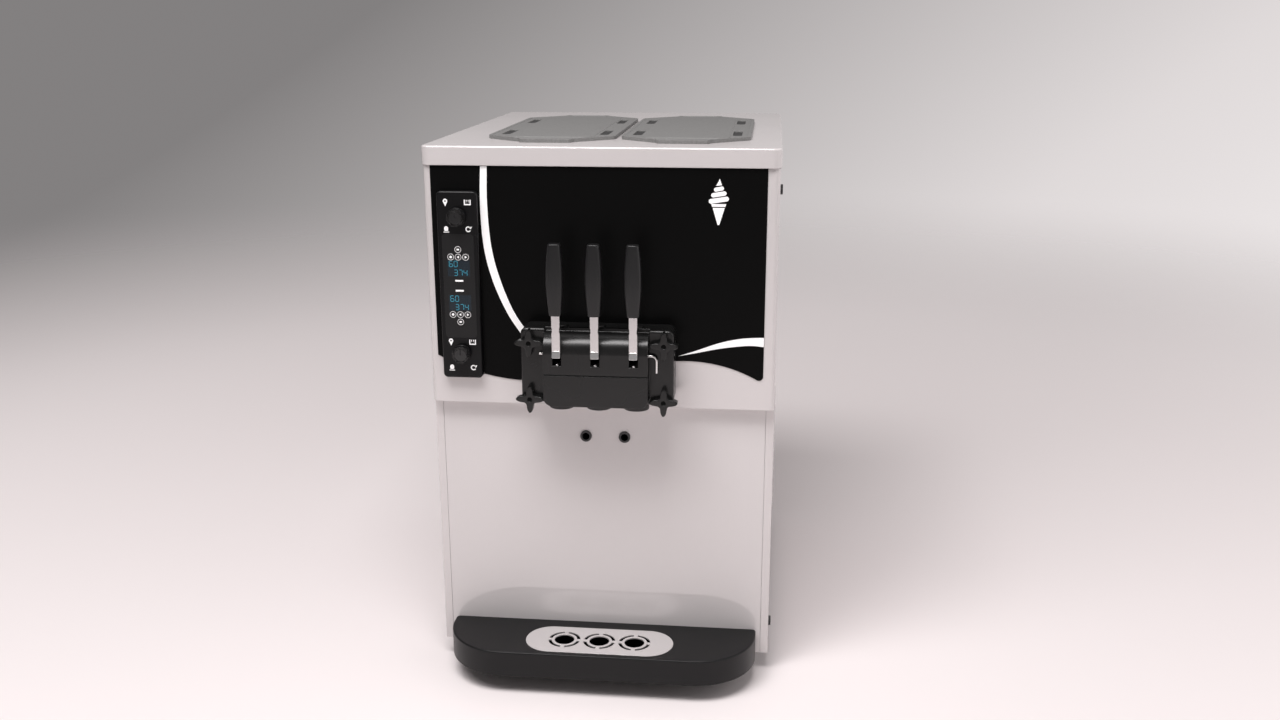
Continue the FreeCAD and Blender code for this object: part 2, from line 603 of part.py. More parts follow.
# ---------------------------------------------------------------- refrigeration and power
def compressor():
    x, y = COMPRESSOR_X, COMPRESSOR_Y
    can = rod(x, y, 48, COMPRESSOR_RADIUS, 180, Z_AXIS)
    rims = [edge for edge in can.Edges if edge.BoundBox.ZLength < 0.01]
    can = can.makeFillet(26, rims)
    seam = rod(x, y, 135, COMPRESSOR_RADIUS + 3, 4, Z_AXIS)
    plate = box(x - 95, y - 60, 44, x + 95, y + 60, 50)
    stem = rod(x, y, 50, 30, 10, Z_AXIS)
    stubs = [rod(x + 30, y, 220, 6, 20, Z_AXIS), rod(x - 30, y, 220, 6, 20, Z_AXIS)]
    terminals = box(x - 20, y - COMPRESSOR_RADIUS - 14, 110, x + 20, y - COMPRESSOR_RADIUS + 8, 165)
    feet = [rod(x + u, y + v, PAN_FLOOR, 11, 44 - PAN_FLOOR, Z_AXIS) for u in (-82, 82) for v in (-48, 48)]
    return fuse([can, seam, plate, stem, terminals] + stubs + feet)


def condenser():
    """Finned block: tube plates at both ends, a slab core and the tube bends."""
    x0, x1 = CONDENSER_X - CONDENSER_HALF, CONDENSER_X + CONDENSER_HALF
    ends = [box(x, CONDENSER_FRONT, CONDENSER_BOTTOM, x + 2, CONDENSER_BACK, CONDENSER_TOP) for x in (x0, x1 - 2)]
    core = box(x0 + 1, CONDENSER_FRONT + 4, CONDENSER_BOTTOM + 12, x1 - 1, CONDENSER_BACK - 4, CONDENSER_TOP - 6)
    rails = [box(x0, CONDENSER_FRONT, z, x1, CONDENSER_BACK, z + 3) for z in (CONDENSER_BOTTOM, CONDENSER_TOP - 3)]
    bends = []
    middle = (CONDENSER_FRONT + CONDENSER_BACK) / 2
    for step in range(7):
        z = CONDENSER_BOTTOM + 24 + 36 * step
        bend = Part.makeTorus(9, 4, Vector(x1, middle, z + 9), Y_AXIS)
        keep = box(x1 - 1, middle - 10, z - 10, x1 + 20, middle + 10, z + 30)
        bends.append(bend.common(keep))
    return fuse(ends + [core] + rails + bends)


def fan_shroud():
    x0, x1 = CONDENSER_X - CONDENSER_HALF, CONDENSER_X + CONDENSER_HALF
    front = CONDENSER_FRONT - 4
    plate = box(x0, front, CONDENSER_BOTTOM, x1, CONDENSER_FRONT - SEAT, CONDENSER_TOP)
    duct = ring(CONDENSER_X, SHROUD_FRONT, FAN_Z, FAN_RADIUS + 7, FAN_RADIUS + 4, front - SHROUD_FRONT + 1)
    arms = []
    for angle in (90, 210, 330):
        direction = Vector(math.cos(math.radians(angle)), 0, math.sin(math.radians(angle)))
        start = Vector(CONDENSER_X, SHROUD_FRONT - 6, FAN_Z) + direction * (MOTOR_RADIUS + 2)
        reach = FAN_RADIUS + 6 - MOTOR_RADIUS - 2
        arms.append(Part.makeCylinder(2.5, reach, start, direction))
        foot = Vector(CONDENSER_X, SHROUD_FRONT - 9.5, FAN_Z) + direction * (FAN_RADIUS + 6)
        arms.append(Part.makeCylinder(3.5, 14, foot, Y_AXIS))
    collar = ring(CONDENSER_X, SHROUD_FRONT - 11, FAN_Z, MOTOR_RADIUS + 4, MOTOR_RADIUS, 9)
    hole = rod(CONDENSER_X, front - 5, FAN_Z, FAN_RADIUS + 4, 20)
    return fuse([plate.cut(hole), duct, collar] + arms)


def fan_motor():
    body = rod(CONDENSER_X, SHROUD_FRONT - 45, FAN_Z, MOTOR_RADIUS, 43)
    body = body.makeFillet(5, [edge for edge in body.Edges if edge.BoundBox.YMax < SHROUD_FRONT - 44])
    return body.cut(rod(CONDENSER_X, SHROUD_FRONT - 22, FAN_Z, 3 + RUN, 30))


def condenser_fan():
    hub_y = SHROUD_FRONT + 2
    hub = rod(CONDENSER_X, hub_y, FAN_Z, 24, 14)
    shaft = rod(CONDENSER_X, SHROUD_FRONT - 20, FAN_Z, 3, 25)
    pieces = [hub, shaft]
    for index in range(5):
        blade = plate_xz([(18, -26, 6), (FAN_RADIUS - 4, -34, 18), (FAN_RADIUS - 2, 30, 18), (18, 20, 6)], -1.2, 2.4)
        blade.rotate(Vector(), X_AXIS, 16)
        blade.rotate(Vector(), Y_AXIS, 72 * index)
        blade.translate(Vector(CONDENSER_X, hub_y + 7, FAN_Z))
        pieces.append(blade)
    limit = rod(CONDENSER_X, SHROUD_FRONT - 20, FAN_Z, FAN_RADIUS, 80)
    room = box(-400, SHROUD_FRONT - 21, -400, 400, CONDENSER_FRONT - 5, 900)
    return fuse(pieces).common(limit).common(room)


def tube_along(points, radius, bend):
    """Round tube along straight runs joined by tangent bends."""
    edges = []
    last = points[0]
    for index in range(1, len(points) - 1):
        corner = points[index]
        before = points[index - 1].sub(corner).normalize()
        after = points[index + 1].sub(corner).normalize()
        half = before.getAngle(after) / 2
        reach = bend / math.tan(half)
        start = corner + before * reach
        end = corner + after * reach
        middle = corner + (before + after).normalize() * (bend / math.sin(half) - bend)
        edges.append(Part.LineSegment(last, start).toShape())
        edges.append(Part.Arc(start, middle, end).toShape())
        last = end
    edges.append(Part.LineSegment(last, points[-1]).toShape())
    profile = Part.Wire([Part.makeCircle(radius, points[0], points[1].sub(points[0]))])
    return Part.Wire(edges).makePipeShell([profile], True, False)


def refrigerant_pipes():
    """Discharge and suction lines, and a liquid line with its filter drier."""
    top = 240.0
    stub_in, stub_out = COMPRESSOR_X - 30, COMPRESSOR_X + 30
    end_plate = CONDENSER_X - CONDENSER_HALF
    middle = (CONDENSER_FRONT + CONDENSER_BACK) / 2
    discharge = tube_along([Vector(stub_out, COMPRESSOR_Y, top), Vector(stub_out, COMPRESSOR_Y, 300),
                            Vector(stub_out, middle, 300), Vector(end_plate, middle, 300)], 4, 18)
    under_jacket = BARREL_Z - BARREL_OUTER - JACKET_THICKNESS
    suction = tube_along([Vector(stub_in, COMPRESSOR_Y, top), Vector(stub_in, COMPRESSOR_Y, 330),
                          Vector(stub_in, 330, 330), Vector(stub_in, 330, under_jacket - 20),
                          Vector(BARREL_X[0], 330, under_jacket - 20), Vector(BARREL_X[0], 270, under_jacket - 20),
                          Vector(BARREL_X[0], 270, under_jacket)], 6, 16)
    drier_x = end_plate - 20
    liquid = tube_along([Vector(end_plate, middle, 70), Vector(drier_x, middle, 70), Vector(drier_x, middle, 200),
                         Vector(drier_x, 545, 200)], 4, 14)
    drier = rod(drier_x, 484, 200, 12, 62)
    drier = drier.makeFillet(7, [edge for edge in drier.Edges if edge.BoundBox.YLength < 0.01])
    return group([discharge, suction, fuse([liquid, drier])])


def electrical_box():
    front = RUNNER_BACK + 22
    case = box(-225, front, PAN_FLOOR, -45, front + 80, 250)
    uprights = [edge for edge in case.Edges if abs(edge.Length - (250 - PAN_FLOOR)) < 0.01]
    case = case.makeFillet(6, uprights)
    lid = box(-221, front - 4, PAN_FLOOR + 4, -49, front + 1, 246)
    glands = [rod(x, front + 40, 249, 8, 12, Z_AXIS) for x in (-190, -150, -110)]
    return fuse([case, lid] + glands)


def cable_gland():
    """Cord inlet in the rear panel: barrel, hexagon, domed nut and inner lock nut."""
    y = BODY_BACK
    barrel = rod(GLAND_X, y - 12, GLAND_Z, GLAND_BARREL, GLAND_REACH)
    hexagon = plate_xz([(GLAND_X + 14 * math.cos(math.radians(60 * k)), GLAND_Z + 14 * math.sin(math.radians(60 * k)), 0)
                        for k in range(6)], y, 5)
    dome = Part.makeCone(12, 9, GLAND_REACH - 5, Vector(GLAND_X, y + 5, GLAND_Z), Y_AXIS)
    locknut = rod(GLAND_X, y - SHEET - 6, GLAND_Z, 13, 4.5)
    return fuse([barrel, hexagon, dome, locknut]).cut(rod(GLAND_X, y - 20, GLAND_Z, 5.0, 50))


# ---------------------------------------------------------------- dispensing head
def dispensing_head():
    """Door over both cylinders: wings, a middle block with a drum-shaped top, and three spouts."""
    wings = plate_xy(cover_outline(WING_HALF, WING_FRONT, HEAD_BACK, 0), HEAD_BOTTOM, WING_TOP - HEAD_BOTTOM)
    corners = [edge for edge in wings.Edges if abs(edge.BoundBox.YLength - (HEAD_BACK - WING_FRONT)) < 0.01]
    wings = wings.makeFillet(9, corners)
    front_rim = [edge for edge in wings.Edges if edge.BoundBox.YMax < WING_FRONT + 0.01]
    wings = wings.makeFillet(4, front_rim)
    notch = box(-BLOCK_HALF, WING_FRONT - 5, DRUM_Z, BLOCK_HALF, DRUM_Y + 2, WING_TOP + 5)
    wings = wings.cut(notch)
    block_front = DRUM_Y - DRUM_RADIUS
    block = box(-BLOCK_HALF, block_front, HEAD_BOTTOM, BLOCK_HALF, DRUM_Y + 6, DRUM_Z)
    lower = [edge for edge in block.Edges
             if edge.BoundBox.YLength > 5 and edge.BoundBox.ZMax < HEAD_BOTTOM + 0.01 and edge.BoundBox.XLength < 0.01]
    block = block.makeFillet(13, lower)
    drum = rod(-BLOCK_HALF, DRUM_Y, DRUM_Z, DRUM_RADIUS, 2 * BLOCK_HALF, X_AXIS)
    pieces = [wings, block, drum]
    tools = []
    for x in LEVER_X:
        pieces.append(rod(x, PISTON_Y, SPOUT_BOTTOM, SPOUT_RADIUS, HEAD_BOTTOM - SPOUT_BOTTOM + 4, Z_AXIS))
        tools.append(rod(x, PISTON_Y, PISTON_BOTTOM - 7, PISTON_RADIUS + RUN, 200, Z_AXIS))
        tools.append(spout_star(x))
        tools.append(box(x - SLOT_HALF, -80, PIVOT_Z - 14, x + SLOT_HALF, PIVOT_Y - 2, PIVOT_Z + 5))
        tools.append(box(x - SLOT_HALF, PIVOT_Y - 8, PIVOT_Z - 15, x + SLOT_HALF, PISTON_Y + TAIL_RADIUS + 1,
                         PIVOT_Z + 15.5))
    for x in BARREL_X:
        pieces.append(rod(x, HEAD_BACK - 1, BARREL_Z, BARREL_RADIUS - SEAT, 11))
    tools += mix_ports()
    tools += [rod(x, -100, z, STUD_RADIUS + RUN + 0.1, 120) for x, z in STUD_PLACES]
    tools.append(rod(-200, PIVOT_Y, PIVOT_Z, PIVOT_RADIUS + RUN, 400, X_AXIS))
    groove_z = COVER_TOP - 322.0
    tools.append(box(-BLOCK_HALF - 5, block_front - 5, groove_z, BLOCK_HALF + 5, block_front + 1.2, groove_z + 1.6))
    return cut(fuse(pieces), tools)


def spout_star(x):
    """Six-pointed opening that shapes the ribbon of ice cream."""
    corners = []
    for step in range(12):
        radius = 9.0 if step % 2 == 0 else 6.0
        angle = math.radians(30 * step)
        corners.append((x + radius * math.cos(angle), PISTON_Y + radius * math.sin(angle), 0))
    return plate_xy(corners, SPOUT_BOTTOM - 1, PISTON_BOTTOM - SPOUT_BOTTOM)


def mix_ports():
    """Passages from the cylinders into the piston bores; the middle bore is fed from both."""
    port_z = PISTON_BOTTOM + 8
    ports = [rod(x, PISTON_Y, port_z, 6, 40) for x in BARREL_X]
    for x in BARREL_X:
        start = Vector(0, PISTON_Y, port_z)
        target = Vector(x * 0.45, HEAD_BACK + 12, port_z)
        ports.append(Part.makeCylinder(5, target.distanceToPoint(start), start, target.sub(start)))
    return ports


def star_nut(index):
    """Four-pointed hand nut with hollow flanks."""
    x, z = STUD_PLACES[index]
    flank = math.radians(NUT_FLANK_ANGLE)
    tip_reach = NUT_REACH + NUT_TIP_RADIUS / math.sin(flank) - NUT_TIP_RADIUS
    valley_reach = tip_reach * math.sqrt(2) * math.tan(flank) / (1 + math.tan(flank))
    corners = []
    for step in range(8):
        reach, radius = (tip_reach, NUT_TIP_RADIUS) if step % 2 == 0 else (valley_reach, 7.0)
        angle = math.radians(45 * step)
        corners.append((x + reach * math.cos(angle), z + reach * math.sin(angle), radius))
    start = WING_FRONT - SEAT - NUT_THICKNESS
    nut = plate_xz(corners, start, NUT_THICKNESS)
    rim = [edge for edge in nut.Edges if edge.BoundBox.YMax < start + 0.01]
    nut = nut.makeFillet(1.5, rim)
    return nut.cut(rod(x, start - 1, z, STUD_RADIUS + RUN, NUT_THICKNESS + 2))


def pivot_rod():
    """Rod through all three levers; its right end is bent down as a handle."""
    left = -BLOCK_HALF - 7
    right = BLOCK_HALF + 11
    low = COVER_TOP - 318.0
    return tube_along([Vector(left, PIVOT_Y, PIVOT_Z), Vector(right, PIVOT_Y, PIVOT_Z), Vector(right, PIVOT_Y, low)],
                      PIVOT_RADIUS, 7.5)


def tail_centre():
    angle = math.radians(LEVER_SWEEP / 2)
    return PIVOT_Y + TAIL_REACH * math.cos(angle), PIVOT_Z - TAIL_REACH * math.sin(angle)


def draw_lever(index):
    """Bent stainless strip: upright into the grip, a hub on the pivot rod and a round tail in the piston."""
    x = LEVER_X[index]
    half = LEVER_WIDTH / 2
    thick = LEVER_THICKNESS / 2
    grip_base = COVER_TOP - GRIP_TOP_DROP - GRIP_LENGTH
    tang_top = grip_base + 40
    front, back = STRIP_Y - thick, STRIP_Y + thick
    upright = plate_yz([(front, PIVOT_Z - thick, 3.5), (PIVOT_Y, PIVOT_Z - thick, 0), (PIVOT_Y, PIVOT_Z + thick, 0),
                        (back, PIVOT_Z + thick, 1), (back, tang_top, 0), (front, tang_top, 0)],
                       x - half, LEVER_WIDTH)
    hub = rod(x - half, PIVOT_Y, PIVOT_Z, 5.5, LEVER_WIDTH, X_AXIS)
    tail_y, tail_z = tail_centre()
    tail = rod(x - half, tail_y, tail_z, TAIL_RADIUS, LEVER_WIDTH, X_AXIS)
    arm = box(x - half, PIVOT_Y, PIVOT_Z - 2, x + half, PIVOT_Y + TAIL_REACH, PIVOT_Z + 2)
    arm.rotate(Vector(x, PIVOT_Y, PIVOT_Z), X_AXIS, -LEVER_SWEEP / 2)
    waist = [rod(x + side * (half + 12.2), front - 5, PIVOT_Z + 40, 13, 10) for side in (-1, 1)]
    lever = fuse([upright, hub, tail, arm])
    return cut(lever, waist + [rod(x - 20, PIVOT_Y, PIVOT_Z, PIVOT_RADIUS + RUN, 40, X_AXIS)])


def lever_grip(index):
    """Hand grip: flat-topped, swelling towards the lower middle, necked at its base."""
    x = LEVER_X[index]
    base = COVER_TOP - GRIP_TOP_DROP - GRIP_LENGTH
    sections = [(0.0, 18.4, 14.0), (0.25, 23.0, 17.5), (0.55, 25.0, 19.0), (0.8, 22.0, 17.5), (1.0, 18.2, 15.0)]
    wires = []
    for share, width, depth in sections:
        z = base + share * GRIP_LENGTH
        corners = rectangle(x - width / 2, STRIP_Y - depth / 2, x + width / 2, STRIP_Y + depth / 2, depth * 0.42)
        wires.append(rounded_wire(corners, lambda u, v: Vector(u, v, z)))
    grip = Part.makeLoft(wires, True)
    gap = 0.1
    thick = LEVER_THICKNESS / 2 + gap
    half = LEVER_WIDTH / 2 + gap
    return grip.cut(box(x - half, STRIP_Y - thick, base - 1, x + half, STRIP_Y + thick, base + 40 + gap))


def piston(index):
    """Round valve piston, notched at the front for the lever's tail and grooved for its rings."""
    x = LEVER_X[index]
    body = rod(x, PISTON_Y, PISTON_BOTTOM, PISTON_RADIUS, PISTON_TOP - PISTON_BOTTOM, Z_AXIS)
    tail_y, tail_z = tail_centre()
    notch = box(x - SLOT_HALF, PISTON_Y - 20, tail_z - TAIL_RADIUS - SEAT, x + SLOT_HALF, tail_y + TAIL_RADIUS + 2,
                tail_z + TAIL_RADIUS + SEAT)
    grooves = [ring(x, PISTON_Y, z, PISTON_RADIUS + 5, PISTON_RADIUS - 1.2, 2.4, Z_AXIS)
               for z in (PISTON_BOTTOM + 3, tail_z - 16)]
    return cut(body, [notch] + grooves)


# ---------------------------------------------------------------- control module
def control_housing():
    half = MODULE_WIDTH / 2
    back = UPPER_FACE_Y - OVERLAY_THICKNESS
    case = plate_xz(rectangle(MODULE_X - half, MODULE_BOTTOM, MODULE_X + half, MODULE_TOP, 7), MODULE_FRONT,
                    back - MODULE_FRONT)
    rim = [edge for edge in case.Edges if edge.BoundBox.YMax < MODULE_FRONT + 0.01]
    case = case.makeChamfer(2.5, rim)
    rear = box(MODULE_X - MODULE_BOX_HALF, back - 1, MODULE_BOTTOM + 6, MODULE_X + MODULE_BOX_HALF, MODULE_BOX_BACK,
               MODULE_TOP - 6)
    tools = [box(MODULE_X - MODULE_BOX_HALF + 2, back, MODULE_BOTTOM + 8, MODULE_X + MODULE_BOX_HALF - 2,
                 MODULE_BOX_BACK - 2, MODULE_TOP - 8),
             plate_xz(face_outline(0), MODULE_FRONT - 1, 1 + FACE_THICKNESS)]
    tools += [rod(MODULE_X, MODULE_FRONT - 5, z, 3 + RUN, 30) for z in KNOB_Z]
    tools += [rod(x, MODULE_FRONT - 5, z, 3 + SEAT, 30) for x, z in KEY_PLACES]
    return cut(fuse([case, rear]), tools)


def face_outline(inset):
    half = MODULE_WIDTH / 2 - 6 - inset
    middle = (MODULE_TOP + MODULE_BOTTOM) / 2
    reach = 78.0 - inset
    return rectangle(MODULE_X - half, middle - reach, MODULE_X + half, middle + reach, 5)


def control_face():
    """Glossy display face set flush in the module, with a hole for each key."""
    face = plate_xz(face_outline(0.1), MODULE_FRONT, FACE_THICKNESS - 0.1)
    return cut(face, [rod(x, MODULE_FRONT - 5, z, KEY_RADIUS + 0.2, 30) for x, z in KEY_PLACES])


def key_places():
    """Three keys in a row and one outside it, twice, mirrored about the display."""
    places = []
    for row, outward in zip(KEY_ROW_DROPS, (-1, 1)):
        places.append((MODULE_X, COVER_TOP - row - outward * KEY_PITCH))
        places += [(MODULE_X + step * KEY_PITCH, COVER_TOP - row) for step in (-1, 0, 1)]
    return places


KEY_PLACES = key_places()


def control_key(index):
    x, z = KEY_PLACES[index]
    cap = rod(x, MODULE_FRONT - KEY_TRAVEL - 0.4, z, KEY_RADIUS, 1.6)
    stem = rod(x, MODULE_FRONT - KEY_TRAVEL, z, 3, 10)
    return fuse([cap, stem])


def control_knob(index):
    """Round rotary knob with a raised grip bar and its spindle."""
    z = KNOB_Z[index]
    start = MODULE_FRONT - SEAT - 12
    disc = rod(MODULE_X, start + 7, z, KNOB_RADIUS, 5)
    drum = Part.makeCone(KNOB_RADIUS - 2.5, KNOB_RADIUS - 1.5, 7, Vector(MODULE_X, start, z), Y_AXIS)
    flats = [box(MODULE_X + side * 9 - 4, start - 1, z - 20, MODULE_X + side * 9 + 4, start + 6, z + 20)
             for side in (-1, 1)]
    drum = cut(drum, flats)
    spindle = rod(MODULE_X, start + 11, z, 3, 16)
    return fuse([disc, drum, spindle])


# ---------------------------------------------------------------- drip side
def tray_outline():
    """Straight back and front with large round front corners."""
    return [(-TRAY_HALF, TRAY_BACK, 6), (-TRAY_HALF, TRAY_FRONT, TRAY_CORNER), (TRAY_HALF, TRAY_FRONT, TRAY_CORNER),
            (TRAY_HALF, TRAY_BACK, 6)]


def stadium(length, width, x, y):
    half = width / 2
    return rectangle(x - length / 2, y - half, x + length / 2, y + half, half - 0.01)


def drip_tray():
    body = plate_xy(tray_outline(), TRAY_BASE, TRAY_HEIGHT)
    rim = [edge for edge in body.Edges if edge.BoundBox.ZMin > TRAY_TOP - 0.01 and edge.BoundBox.YMin < TRAY_BACK - 1]
    body = body.makeFillet(2.5, rim)
    seat = plate_xy(stadium(GRILLE_LENGTH + 2 * SEAT, GRILLE_WIDTH + 2 * SEAT, 0, GRILLE_Y), TRAY_TOP - 1.7, 20)
    well = plate_xy(stadium(GRILLE_LENGTH - 8, GRILLE_WIDTH - 8, 0, GRILLE_Y), TRAY_BASE + 4, TRAY_HEIGHT)
    tray = cut(body, [seat, well])
    runners = [box(x - RUNNER_WIDTH / 2, TRAY_BACK - 8, RUNNER_Z, x + RUNNER_WIDTH / 2, RUNNER_BACK,
                   RUNNER_Z + RUNNER_HEIGHT) for x in (-RUNNER_X, RUNNER_X)]
    return fuse([tray] + runners)


def ring_slots(x, y):
    """Four curved slots round one drain hole."""
    slots = ring(x, y, TRAY_TOP - 20, 24.0, 20.5, 60, Z_AXIS)
    bridges = [box(x - 3, y - 40, 0, x + 3, y + 40, 200), box(x - 40, y - 3, 0, x + 40, y + 3, 200)]
    return cut(slots, bridges)


def drip_grille():
    z = TRAY_TOP - 1.7 + 0.02
    sheet = plate_xy(stadium(GRILLE_LENGTH, GRILLE_WIDTH, 0, GRILLE_Y), z, GRILLE_THICKNESS)
    tools = []
    for x in (-HOLE_PITCH, 0, HOLE_PITCH):
        tools.append(rod(x, GRILLE_Y, z - 5, 15.3, 20, Z_AXIS))
        tools.append(ring_slots(x, GRILLE_Y))
    return cut(sheet, tools)


def drain_tubes():
    """Outlets for mix that passes the shaft seals: a rolled rim in front and a tube running back."""
    tubes = []
    for x in DRAIN_PLACES:
        rim = ring(x, LOWER_FACE_Y - 2.5, DRAIN_Z, DRAIN_RADIUS, DRAIN_RADIUS - 3.2, 2.5)
        tube = ring(x, LOWER_FACE_Y - 2.5, DRAIN_Z, DRAIN_RADIUS - 2, DRAIN_RADIUS - 3.2, 45)
        tubes.append(fuse([rim, tube]))
    return group(tubes)


# ---------------------------------------------------------------- export
def all_nodes():
    sides = ("left", "right")
    nodes = {
        "base_pan": base_pan(),
        "levelling_feet": levelling_feet(),
        "chassis_frame": chassis_frame(),
        "panel_screws": panel_screws(),
        "rear_panel": rear_panel(),
        "upper_front_panel": upper_front_panel(),
        "lower_front_panel": lower_front_panel(),
        "front_graphic_panel": front_graphic_panel(),
        "top_cover": top_cover(),
        "hoppers": hoppers(),
        "freezing_cylinders": freezing_cylinders(),
        "cylinder_insulation": cylinder_insulation(),
        "cylinder_seals": cylinder_seals(),
        "gear_motors": gear_motors(),
        "compressor": compressor(),
        "condenser": condenser(),
        "fan_shroud": fan_shroud(),
        "fan_motor": fan_motor(),
        "condenser_fan": condenser_fan(),
        "refrigerant_pipes": refrigerant_pipes(),
        "electrical_box": electrical_box(),
        "cable_gland": cable_gland(),
        "dispensing_head": dispensing_head(),
        "pivot_rod": pivot_rod(),
        "control_housing": control_housing(),
        "control_face": control_face(),
        "drip_tray": drip_tray(),
        "drip_grille": drip_grille(),
        "drain_tubes": drain_tubes(),
    }
    for index, side in enumerate(sides):
        nodes["side_panel_" + side] = side_panel(2 * index - 1)
        nodes["hopper_lid_" + side] = hopper_lid(index)
        nodes["feed_tube_" + side] = feed_tube(index)
        nodes["beater_" + side] = beater(index)
    for index, place in enumerate(("left", "centre", "right")):
        nodes["draw_lever_" + place] = draw_lever(index)
        nodes["lever_grip_" + place] = lever_grip(index)
        nodes["piston_" + place] = piston(index)
    for index, place in enumerate(("upper_left", "upper_right", "lower_left", "lower_right")):
        nodes["star_nut_" + place] = star_nut(index)
    for index, place in enumerate(("upper", "lower")):
        nodes["control_knob_" + place] = control_knob(index)
    for index in range(len(KEY_PLACES)):
        nodes["control_key_" + str(index + 1)] = control_key(index)
    return nodes


def main():
    os.makedirs("parts", exist_ok=True)
    nodes = all_nodes()
    shift = Vector(0, -FOOTPRINT_MIDDLE_Y, 0)
    for name, shape in nodes.items():
        placed = shape.copy()
        placed.translate(shift)
        placed.exportStep("parts/" + name + ".step")
        print(name, len(placed.Solids), "solid(s)", "valid" if placed.isValid() else "NOT VALID")
    print("nodes", len(nodes), "shift y", round(shift.y, 3))


main()
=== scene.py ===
# %% [markdown]
# # A countertop soft-serve machine
# The machine has two hoppers, two freezing cylinders, one dispensing head with three levers, a
# control module and a drip tray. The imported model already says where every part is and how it
# moves. This lesson dresses that frame: it finishes the metal and the mouldings, and it builds
# again the pieces that a hand touches, with their small radii, ribs, marks and pressings.

# %% Load the frame
import json
import math
import bmesh
import bpy
from mathutils import Matrix, Vector

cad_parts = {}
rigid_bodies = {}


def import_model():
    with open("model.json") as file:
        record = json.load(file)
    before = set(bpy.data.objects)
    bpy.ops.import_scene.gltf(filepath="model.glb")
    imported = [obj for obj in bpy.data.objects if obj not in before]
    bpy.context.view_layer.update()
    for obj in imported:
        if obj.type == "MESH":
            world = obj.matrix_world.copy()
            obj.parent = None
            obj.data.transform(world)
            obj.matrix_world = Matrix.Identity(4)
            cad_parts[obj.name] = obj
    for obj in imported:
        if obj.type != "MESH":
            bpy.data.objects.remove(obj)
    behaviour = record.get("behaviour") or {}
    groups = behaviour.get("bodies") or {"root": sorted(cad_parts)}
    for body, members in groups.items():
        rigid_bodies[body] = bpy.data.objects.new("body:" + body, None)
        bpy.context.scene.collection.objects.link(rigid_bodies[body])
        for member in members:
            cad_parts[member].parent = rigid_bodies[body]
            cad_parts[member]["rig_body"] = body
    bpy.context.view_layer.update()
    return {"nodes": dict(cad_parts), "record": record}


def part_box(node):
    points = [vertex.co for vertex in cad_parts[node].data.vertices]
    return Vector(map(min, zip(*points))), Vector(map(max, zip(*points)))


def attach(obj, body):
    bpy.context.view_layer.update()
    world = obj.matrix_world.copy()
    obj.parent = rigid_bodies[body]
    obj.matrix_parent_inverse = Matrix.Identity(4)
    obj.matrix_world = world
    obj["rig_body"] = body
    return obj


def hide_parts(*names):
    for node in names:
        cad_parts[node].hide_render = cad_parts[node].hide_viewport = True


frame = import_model()
nodes = frame["nodes"]
scene = bpy.context.scene

# %% [markdown]
# Everything is measured from the cover, as a fitter would: x from the machine's middle, depth
# behind the cover's front face, and drop below the cover's top, all in millimetres. One function
# turns those into the frame's metres, so that no piece holds a position of its own.

# %% Places on the machine
MM = 0.001
cover_low, cover_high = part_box("top_cover")
FRONT, TOP = cover_low.y, cover_high.z


def at(x, depth, drop):
    return Vector((x * MM, FRONT + depth * MM, TOP - drop * MM))


def middle_of(node):
    low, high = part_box(node)
    return (low + high) / 2


print("cover front %.4f, top %.4f" % (FRONT, TOP))

# %% [markdown]
# ## Shader helpers
# A material is a small calculation for each spot of a surface. `Shade` wraps one socket, so that
# sums on it can be written as Python and become Math nodes. `Finish` holds one material and adds
# any other node: its settings first, then the values or links of its sockets.

# %% Shade, Board and Finish
class Shade:
    """One output socket that can be added, subtracted, multiplied and stepped."""

    def __init__(self, board, socket):
        self.board, self.socket = board, socket

    def join(self, operation, *values):
        return self.board.add("ShaderNodeMath", {"operation": operation}, dict(enumerate(values)))

    def __add__(self, other):
        return self.join("ADD", self, other)

    def __sub__(self, other):
        return self.join("SUBTRACT", self, other)

    def __mul__(self, other):
        return self.join("MULTIPLY", self, other)

    def __radd__(self, other):
        return self.join("ADD", other, self)

    def __rsub__(self, other):
        return self.join("SUBTRACT", other, self)

    def __rmul__(self, other):
        return self.join("MULTIPLY", other, self)

    def step(self, low, high):
        """0 below low, 1 above high and smooth between."""
        return self.board.add("ShaderNodeMapRange", {"interpolation_type": "SMOOTHSTEP"},
                              {"Value": self, "From Min": low, "From Max": high})


class Board:
    """A node tree being wired, for a material or for a shape."""

    def __init__(self, tree):
        self.tree = tree

    def add(self, kind, settings=None, sockets=None, output=0):
        node = self.tree.nodes.new(kind)
        for setting, value in (settings or {}).items():
            setattr(node, setting, value)
        for socket, value in (sockets or {}).items():
            self.put(node.inputs[socket], value)
        return Shade(self, node.outputs[output])

    def put(self, socket, value):
        if isinstance(value, Shade):
            self.tree.links.new(value.socket, socket)
        else:
            socket.default_value = value


class Finish(Board):
    """One material: a Principled shader, its fixed sockets and the nodes that vary it."""

    def __init__(self, name, colour, roughness, metallic=0.0, fixed=None):
        self.material = bpy.data.materials.new(name)
        self.material.use_nodes = True
        super().__init__(self.material.node_tree)
        self.shader = self.tree.nodes["Principled BSDF"]
        self.feed("Base Color", (*colour, 1))
        self.feed("Roughness", roughness)
        self.feed("Metallic", metallic)
        for socket, value in (fixed or {}).items():
            self.feed(socket, value)

    def feed(self, socket, value):
        self.put(self.shader.inputs[socket], value)

    def place(self):
        return self.add("ShaderNodeTexCoord", output="Object")

    def stretched(self, scale):
        return self.add("ShaderNodeMapping", None, {"Vector": self.place(), "Scale": scale})

    def noise(self, scale, detail=2.0, stretch=(1, 1, 1)):
        return self.add("ShaderNodeTexNoise", None,
                        {"Vector": self.stretched(stretch), "Scale": scale, "Detail": detail})

    def blend(self, first, second, share):
        return self.add("ShaderNodeMix", {"data_type": "RGBA"},
                        {"Factor": share, 6: first, 7: second}, 2)

    def bump(self, height, distance, strength=1.0):
        self.feed("Normal", self.add("ShaderNodeBump", None,
                                     {"Height": height, "Distance": distance, "Strength": strength}))


